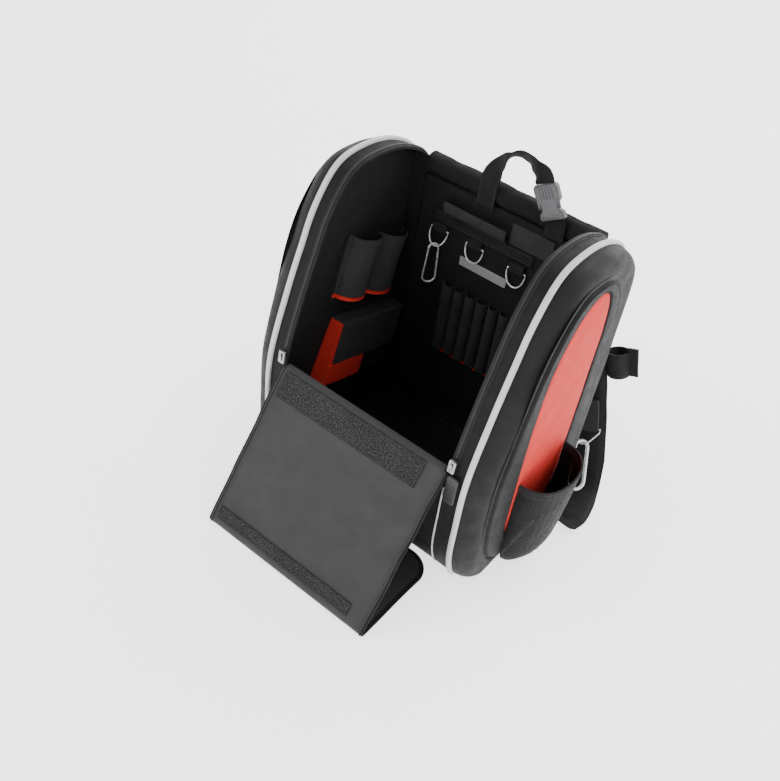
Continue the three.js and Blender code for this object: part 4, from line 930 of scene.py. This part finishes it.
def buckle_point(across, up, out):
    p = B_AT + B_ACROSS * across + B_UP * up + np.array((0, -1.0, 0)) * out
    return Vector((p[0], p[1] + SHIFT, p[2])) * MM


for k, a in enumerate((-9.6, -4.8, 0, 4.8, 9.6)):
    block(f"buckle_rib_{k}", buckle_point(a, 12.5, 4.9), Vector(B_UP), (0.017, 0.0022, 0.0016), "buckle")
for k, a in enumerate((-15, 15)):
    block(f"buckle_prong_{k}", buckle_point(a, -1.5, 2.6), Vector(B_UP), (0.015, 0.0044, 0.0055), "buckle")
block("buckle_foot", buckle_point(0, -20, 4.9), Vector(B_ACROSS), (0.030, 0.004, 0.0016), "buckle")
block("buckle_lip", buckle_point(0, 23, 4.9), Vector(B_ACROSS), (0.029, 0.0024, 0.0015), "buckle")


# Walls, base and back
soft("front_wall", "band", 0.010, (0.04, 0.0005, 1), sharp=50)
soft("base_panel", "black", 0.010, (0.05, 0.0006, 2))
soft("holder_board", "black", 0.008, (0.03, 0.0004, 3))
for word in ("left", "right"):
    soft("lining_" + word, "black", 0.010, (0.05, 0.0007, 4), sharp=50)
back_pad = soft("back_panel", "black", 0.008, (0.045, 0.0011, 6), edge=0.002, sharp=60)
roll = copy_of("back_roll")
rounded(roll, 0.001)
refine(roll, 0.006)
shift(roll, lambda p: creasing(0.03, 0.0009, 8)(p) + Vector((0, 0,
                                                             -0.0012 * max(0, math.cos(p.x * 60)) ** 6)))
box_uv(roll.data)
finish_piece(roll, "black", node="back_roll", sharp=60)


# Sleeves: cloth sewn down between bulges, as rings of its section up its height
def wave(width, count, bulge, seam):
    """Plan of a row of sleeves, as (along, out) points: bulges between flat seams"""
    steps, fullness = 18, 0.88
    pitch = (width - seam) / count
    line = [(-width / 2, 0.0)]
    for k in range(count):
        x0 = -width / 2 + seam + k * pitch
        x1 = x0 + pitch - seam
        for i in range(steps + 1):
            t = math.pi * i / steps
            line.append(((x0 + x1) / 2 - (x1 - x0) / 2 * math.cos(t), bulge * math.sin(t) ** fullness))
    line.append((width / 2, 0.0))
    return [np.array(p) for p in line]


def on_left_wall(back, up, tilt):
    c, s = math.cos(math.radians(tilt)), math.sin(math.radians(tilt))
    return lambda a, b, out: at(-168 + GAP + out, (back + a * c - b * s, up + a * s + b * c))


def on_back_wall(a, b, out):
    return at(a, (-out - GAP, b))


def sleeve_piece(name, node, place, low, high, size, material, above=0.0, rows=26):
    width, count, bulge, seam, thick = size
    rings = []
    for k in range(rows):
        f = k / (rows - 1)
        line = wave(width, count, bulge * (1 + 0.05 * f ** 3 - 0.06 * math.sin(math.pi * f)), seam)
        outer = moved(line, thick)
        rings.append([place(p[0], low + (high - low) * f, above + p[1]) for p in line]
                     + [place(p[0], low + (high - low) * f, above + p[1]) for p in reversed(outer)])
    obj = ribbon_skin(name, rings)
    shift(obj, creasing(0.022, 0.0006, 11))
    return finish_piece(obj, material, node=node, sharp=60)


holder_at = on_left_wall(-83, 302, -16)
HOLDER = (140, 2, 22, 7, 2.0)
HOLDER_HALF, HOLDER_HEM, BOARD = 46, 6, 2 + GAP
sleeve_piece("holder_pockets", "holder_sleeves", holder_at, -HOLDER_HALF, HOLDER_HALF, HOLDER, "grey",
             BOARD)
sleeve_piece("holder_red_hem", "holder_hem", holder_at, -HOLDER_HALF - HOLDER_HEM - GAP, -HOLDER_HALF - GAP,
             HOLDER, "red", BOARD, 5)
for k in range(3):
    a = -66.5 + 66.5 * k
    stitches(f"holder_seam_{k}", [holder_at(a, -45 + 6 * i, 4.4) for i in range(16)], Vector((1, 0, 0)))
rim_line = moved(wave(140, 2, 22 * 1.04, 7), 2.1)
stitches("holder_mouth", [holder_at(p[0], HOLDER_HALF - 4.5, BOARD + p[1]) for p in rim_line[2:-2]],
         [(holder_at(p[0] + d[0], 0, p[1] + d[1]) - holder_at(p[0], 0, p[1])).normalized()
          for p, d in zip(rim_line[2:-2], left_of(rim_line, False)[2:-2])])

SLEEVES, SLEEVES_AT = (130, 6, 9, 4, 1.5), -14
sleeve_piece("organiser_upright_sleeves", "organiser_sleeves", lambda a, b,
             o: on_back_wall(a + SLEEVES_AT, b, o), 150, 272,
             SLEEVES, "grey", 0.0, 30)
for k in range(7):
    x = SLEEVES_AT + 21 * (k - 3)
    stitches(f"sleeve_seam_{k}", [on_back_wall(x, 151 + 6 * i, 1.6) for i in range(21)], Vector((0, -1, 0)))
soft("sleeve_hem", "red", 0.005, (0.02, 0.0003, 1), edge=0.0004)


# Lidded pouch, flat pocket, patch, label and webbing
pouch_at = on_left_wall(-95, 160, -14)
soft("pouch_body", "black", 0.007, (0.03, 0.0008, 2), edge=0.0007)
soft("pouch_lid", "grey", 0.006, (0.028, 0.0010, 3), edge=0.0008)
soft("pouch_gusset", "red", 0.006, (0.03, 0.0005, 4), edge=0.0005)
LID_HALF, LID_TOP, LID_DROP, SEAM_IN = 78, 54, 72, 4
x0, x1, z0, z1 = SEAM_IN - LID_HALF, LID_HALF - SEAM_IN, LID_TOP - LID_DROP + SEAM_IN, LID_TOP - SEAM_IN
loop = [(x0, z1), (x0, z0), (x1, z0), (x1, z1)]
pts = []
for (xa, za), (xb, zb) in zip(loop, loop[1:]):
    pts += [(xa + (xb - xa) * k / 24, za + (zb - za) * k / 24) for k in range(24)]
stitches("lid_stitch", [pouch_at(a, b, 24.3 + 2 + 0.1) for a, b in pts], Vector((1, 0, 0)))
soft("organiser_pocket", "grey", 0.005, (0.025, 0.0006, 5), edge=0.0005, sharp=60)
soft("organiser_patch", "grey", 0.006, (0.03, 0.0006, 6))
soft("organiser_label", "label", 0.006, (0.03, 0.0003, 7), edge=0.0002)
soft("ring_webbing", "webbing", 0.007, (0.03, 0.0004, 8))
for z, word in ((368.5, "low"), (381.5, "high")):
    stitches("ring_webbing_" + word, [on_back_wall(-112 + 5 * i, z, 2.6) for i in range(35)],
             Vector((0, -1, 0)))
stitches("patch_stitch", [on_back_wall(x, z, 2.1) for x, z in [(19 + 4 * i, 416.5) for i in range(17)]
                          + [(83, 416.5 - 3.5 * i) for i in range(1, 9)]
                          + [(83 - 4 * i, 388.5) for i in range(1, 17)]],
         Vector((0, -1, 0)))
for i in (1, 2, 3):
    soft(f"ring_tab_{i}", "webbing", 0.004, (0.02, 0.0003, i), edge=0.0009)


# Metal wires
def smooth_metal(node, body="bag"):
    """A wire with its facets rounded away"""
    obj = copy_of(node, tidy=False)
    m = obj.modifiers.new("even", "REMESH")
    m.mode, m.voxel_size = "VOXEL", 0.0005
    m = obj.modifiers.new("smooth", "SMOOTH")
    m.factor, m.iterations = 0.5, 12
    apply_modifiers(obj)
    box_uv(obj.data)
    finish_piece(obj, "chrome", body=body, node=node, sharp=70)


for n in ("d_ring_1", "d_ring_2", "d_ring_3", "tri_ring", "snap_hook", "carabiner"):
    smooth_metal(n)
smooth_metal("snap_hook_gate", "snap_hook_gate")
smooth_metal("carabiner_gate", "carabiner_gate")


# What the right strap carries, the sliders and the rubber pull
soft("strap_patch", "grey", 0.005, (0.02, 0.0005, 3), edge=0.0009)
soft("accessory_loop", "webbing", 0.004, (0.02, 0.0006, 4), edge=0.0006, sharp=50)
for word, s in (("left", -1), ("right", 1)):
    hard("zip_slider_" + word, "nickel", 0.0014, 0.003)
    low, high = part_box("zip_slider_" + word)
    c = (low + high) / 2 + Vector((0, -0.0034, 0.001))
    block("slider_bridge_" + word, c, Vector((0, 0, 1)), (0.012, 0.004, 0.0036), "nickel")
hard("zip_pull_right", "rubber", 0.0013, 0.003)
low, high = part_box("zip_pull_right")
mid = (low + high) / 2
for k in range(5):
    c = Vector((mid.x, low.y + 0.0001, low.z + 0.009 + 0.006 * k))
    block(f"pull_rib_{k}", c, Vector((1, 0, 0)), (0.011, 0.0022, 0.0013), "rubber")


# Mesh side pocket and its hem
def mesh_material():
    s = Shader("open_mesh")
    where = s.where()
    xyz = s.node("SeparateXYZ", inputs={0: where})
    warp = s.noise(where, 0.02, 2.0)
    u = s.sum(xyz.outputs[0], s.sum(warp, 0.0012, "MULTIPLY"))
    slant = s.sum(u, 2 * math.pi / 0.0040, "MULTIPLY"), s.sum(xyz.outputs[1], 2 * math.pi / 0.0052,
                                                              "MULTIPLY")
    a = s.node("Math", operation="SINE", inputs={0: s.sum(*slant)})
    b = s.node("Math", operation="SINE", inputs={0: s.sum(*slant, "SUBTRACT")})
    hole = s.sum(a, b, "MULTIPLY")
    height = s.node("MapRange", inputs={0: s.sum(a, b, "MAXIMUM"), 1: -0.6, 2: 1.0, 3: 0.0,
                                        4: 1.0}).outputs[0]
    mask = s.ramp(hole, (0.30, (0, 0, 0)), (0.5, (1, 1, 1)))
    s.set(Base_Color=s.ramp(height, (0.15, (0.004, 0.004, 0.0042)), (0.85, (0.013, 0.013, 0.0135))),
          Roughness=0.6,
          Normal=s.bump(height, 0.0003), Specular_IOR_Level=0.12)
    s.set(Alpha=s.node("MapRange", inputs={0: mask, 1: 0.0, 2: 1.0, 3: 1.0, 4: 0.55}).outputs[0])
    return s.material


MAT["mesh"] = mesh_material()
POCKET = {"width": 122, "depth": 52, "bottom": 16, "top": 178, "cloth": 2.5, "at": -133, "hem": 14}
P_FROM = FACE_X + FRAME_RISE + GAP


def pocket_rows(shape, less, zs):
    ups, out = [r[0] for r in shape], []
    for z, up in zs:
        reach = float(np.interp(up, ups, [r[1] for r in shape]))
        half = float(np.interp(up, ups, [r[2] for r in shape]))
        wide, deep = half * POCKET["width"] / 2, reach * POCKET["depth"]
        face, inner = [], []
        for i in range(49):
            t = math.pi * i / 48
            pleat = 1 + 0.012 * math.sin(i * 1.9) * (1 - 0.4 * up)
            face.append(at(P_FROM + max(deep * math.sin(t) ** 0.75 * pleat, 0.05),
                           (POCKET["at"] - wide * math.cos(t), z)))
            inner.append(at(P_FROM + max((deep - less) * math.sin(t) ** 0.75 * pleat, 0.02),
                            (POCKET["at"] - (wide - less) * math.cos(t), z + (less if up <= 0.01 else 0))))
        out.append(face + inner[::-1])
    return out


P_SHAPE = [(0, 0.5, 0.86), (0.05, 0.62, 0.90), (0.1, 0.7, 0.94), (0.22, 0.79, 0.967), (0.4, 0.86, 0.99),
           (0.7, 0.94, 0.998),
           (1, 1, 1)]
tall_part = POCKET["top"] - POCKET["hem"] - POCKET["bottom"]
ladder = [(POCKET["bottom"] + tall_part * u, u) for u in [k / 40 for k in range(41)]]
rows = pocket_rows(P_SHAPE, 1.6, ladder)
under = pocket_rows([(0, 0.03, 0.80), (1, 0.03, 0.80)], 1.0, [(POCKET["bottom"] + 1.5, 0)])
half_under = pocket_rows([(0, 0.3, 0.84), (1, 0.3, 0.84)], 1.4, [(POCKET["bottom"] + 0.3, 0)])
pocket = ribbon_skin("side_pocket_mesh", under + half_under + rows)
shift(pocket, creasing(0.03, 0.0008, 21))
finish_piece(pocket, "mesh", node="mesh_pocket", sharp=60)
hem_z = [(POCKET["top"] - POCKET["hem"] + GAP + (POCKET["hem"] - GAP) * k / 6, 1) for k in range(7)]
hem_shape = [(0, 1.006, 1.005), (1, 1.006, 1.005)]
hem = ribbon_skin("side_pocket_hem", pocket_rows(hem_shape, 2.6, hem_z))
shift(hem, creasing(0.03, 0.0008, 21))
finish_piece(hem, "webbing", node="pocket_hem", sharp=60)
for k, z in enumerate((POCKET["top"] - 3, POCKET["top"] - POCKET["hem"] + 3)):
    ring = pocket_rows([(0, 1.012, 1.009), (1, 1.012, 1.009)], 2, [(z, 1)])[0][:49]
    lift = creasing(0.03, 0.0008, 21)
    ring = [p + lift(p) for p in ring]
    stitches(f"pocket_hem_stitch_{k}", ring[2:-2], [Vector((math.sin(math.pi * i / 48),
                                                            -math.cos(math.pi * i / 48), 0))
                                                   for i in range(2, 47)])


# Seams moulded and sewn into the shells
for word, s in (("left", -1), ("right", 1)):
    frame_line = [g + (q - g) * 0.80 for g, q in zip(groove, seat)]
    pts = [at(s * (FACE_X + 4.35), p) for p in frame_line + frame_line[:1]]
    stitches("frame_stitch_" + word, pts, Vector((s, 0, 0)), 0.0055)


# The exact solids under the pieces have the same cloth, plastic and metal
SLOT_LOOK = {"moulded_nylon": "moulded", "black_cloth": "black", "cover_cloth": "cover",
             "grey_cloth": "grey",
             "red_cloth": "red", "webbing": "webbing", "hook_and_loop": "grip", "zip_tape": "tape",
             "mesh": "webbing",
             "piping": "piping", "label": "label", "strap_cloth": "strap", "buckle": "buckle",
             "pull_rubber": "rubber", "chrome": "chrome", "zip_metal": "nickel"}
for entry in frame["record"]["subparts"]:
    o = NODES[entry["node"]]
    o.data.materials.clear()
    o.data.materials.append(MAT[SLOT_LOOK[entry["material_slot"]]])
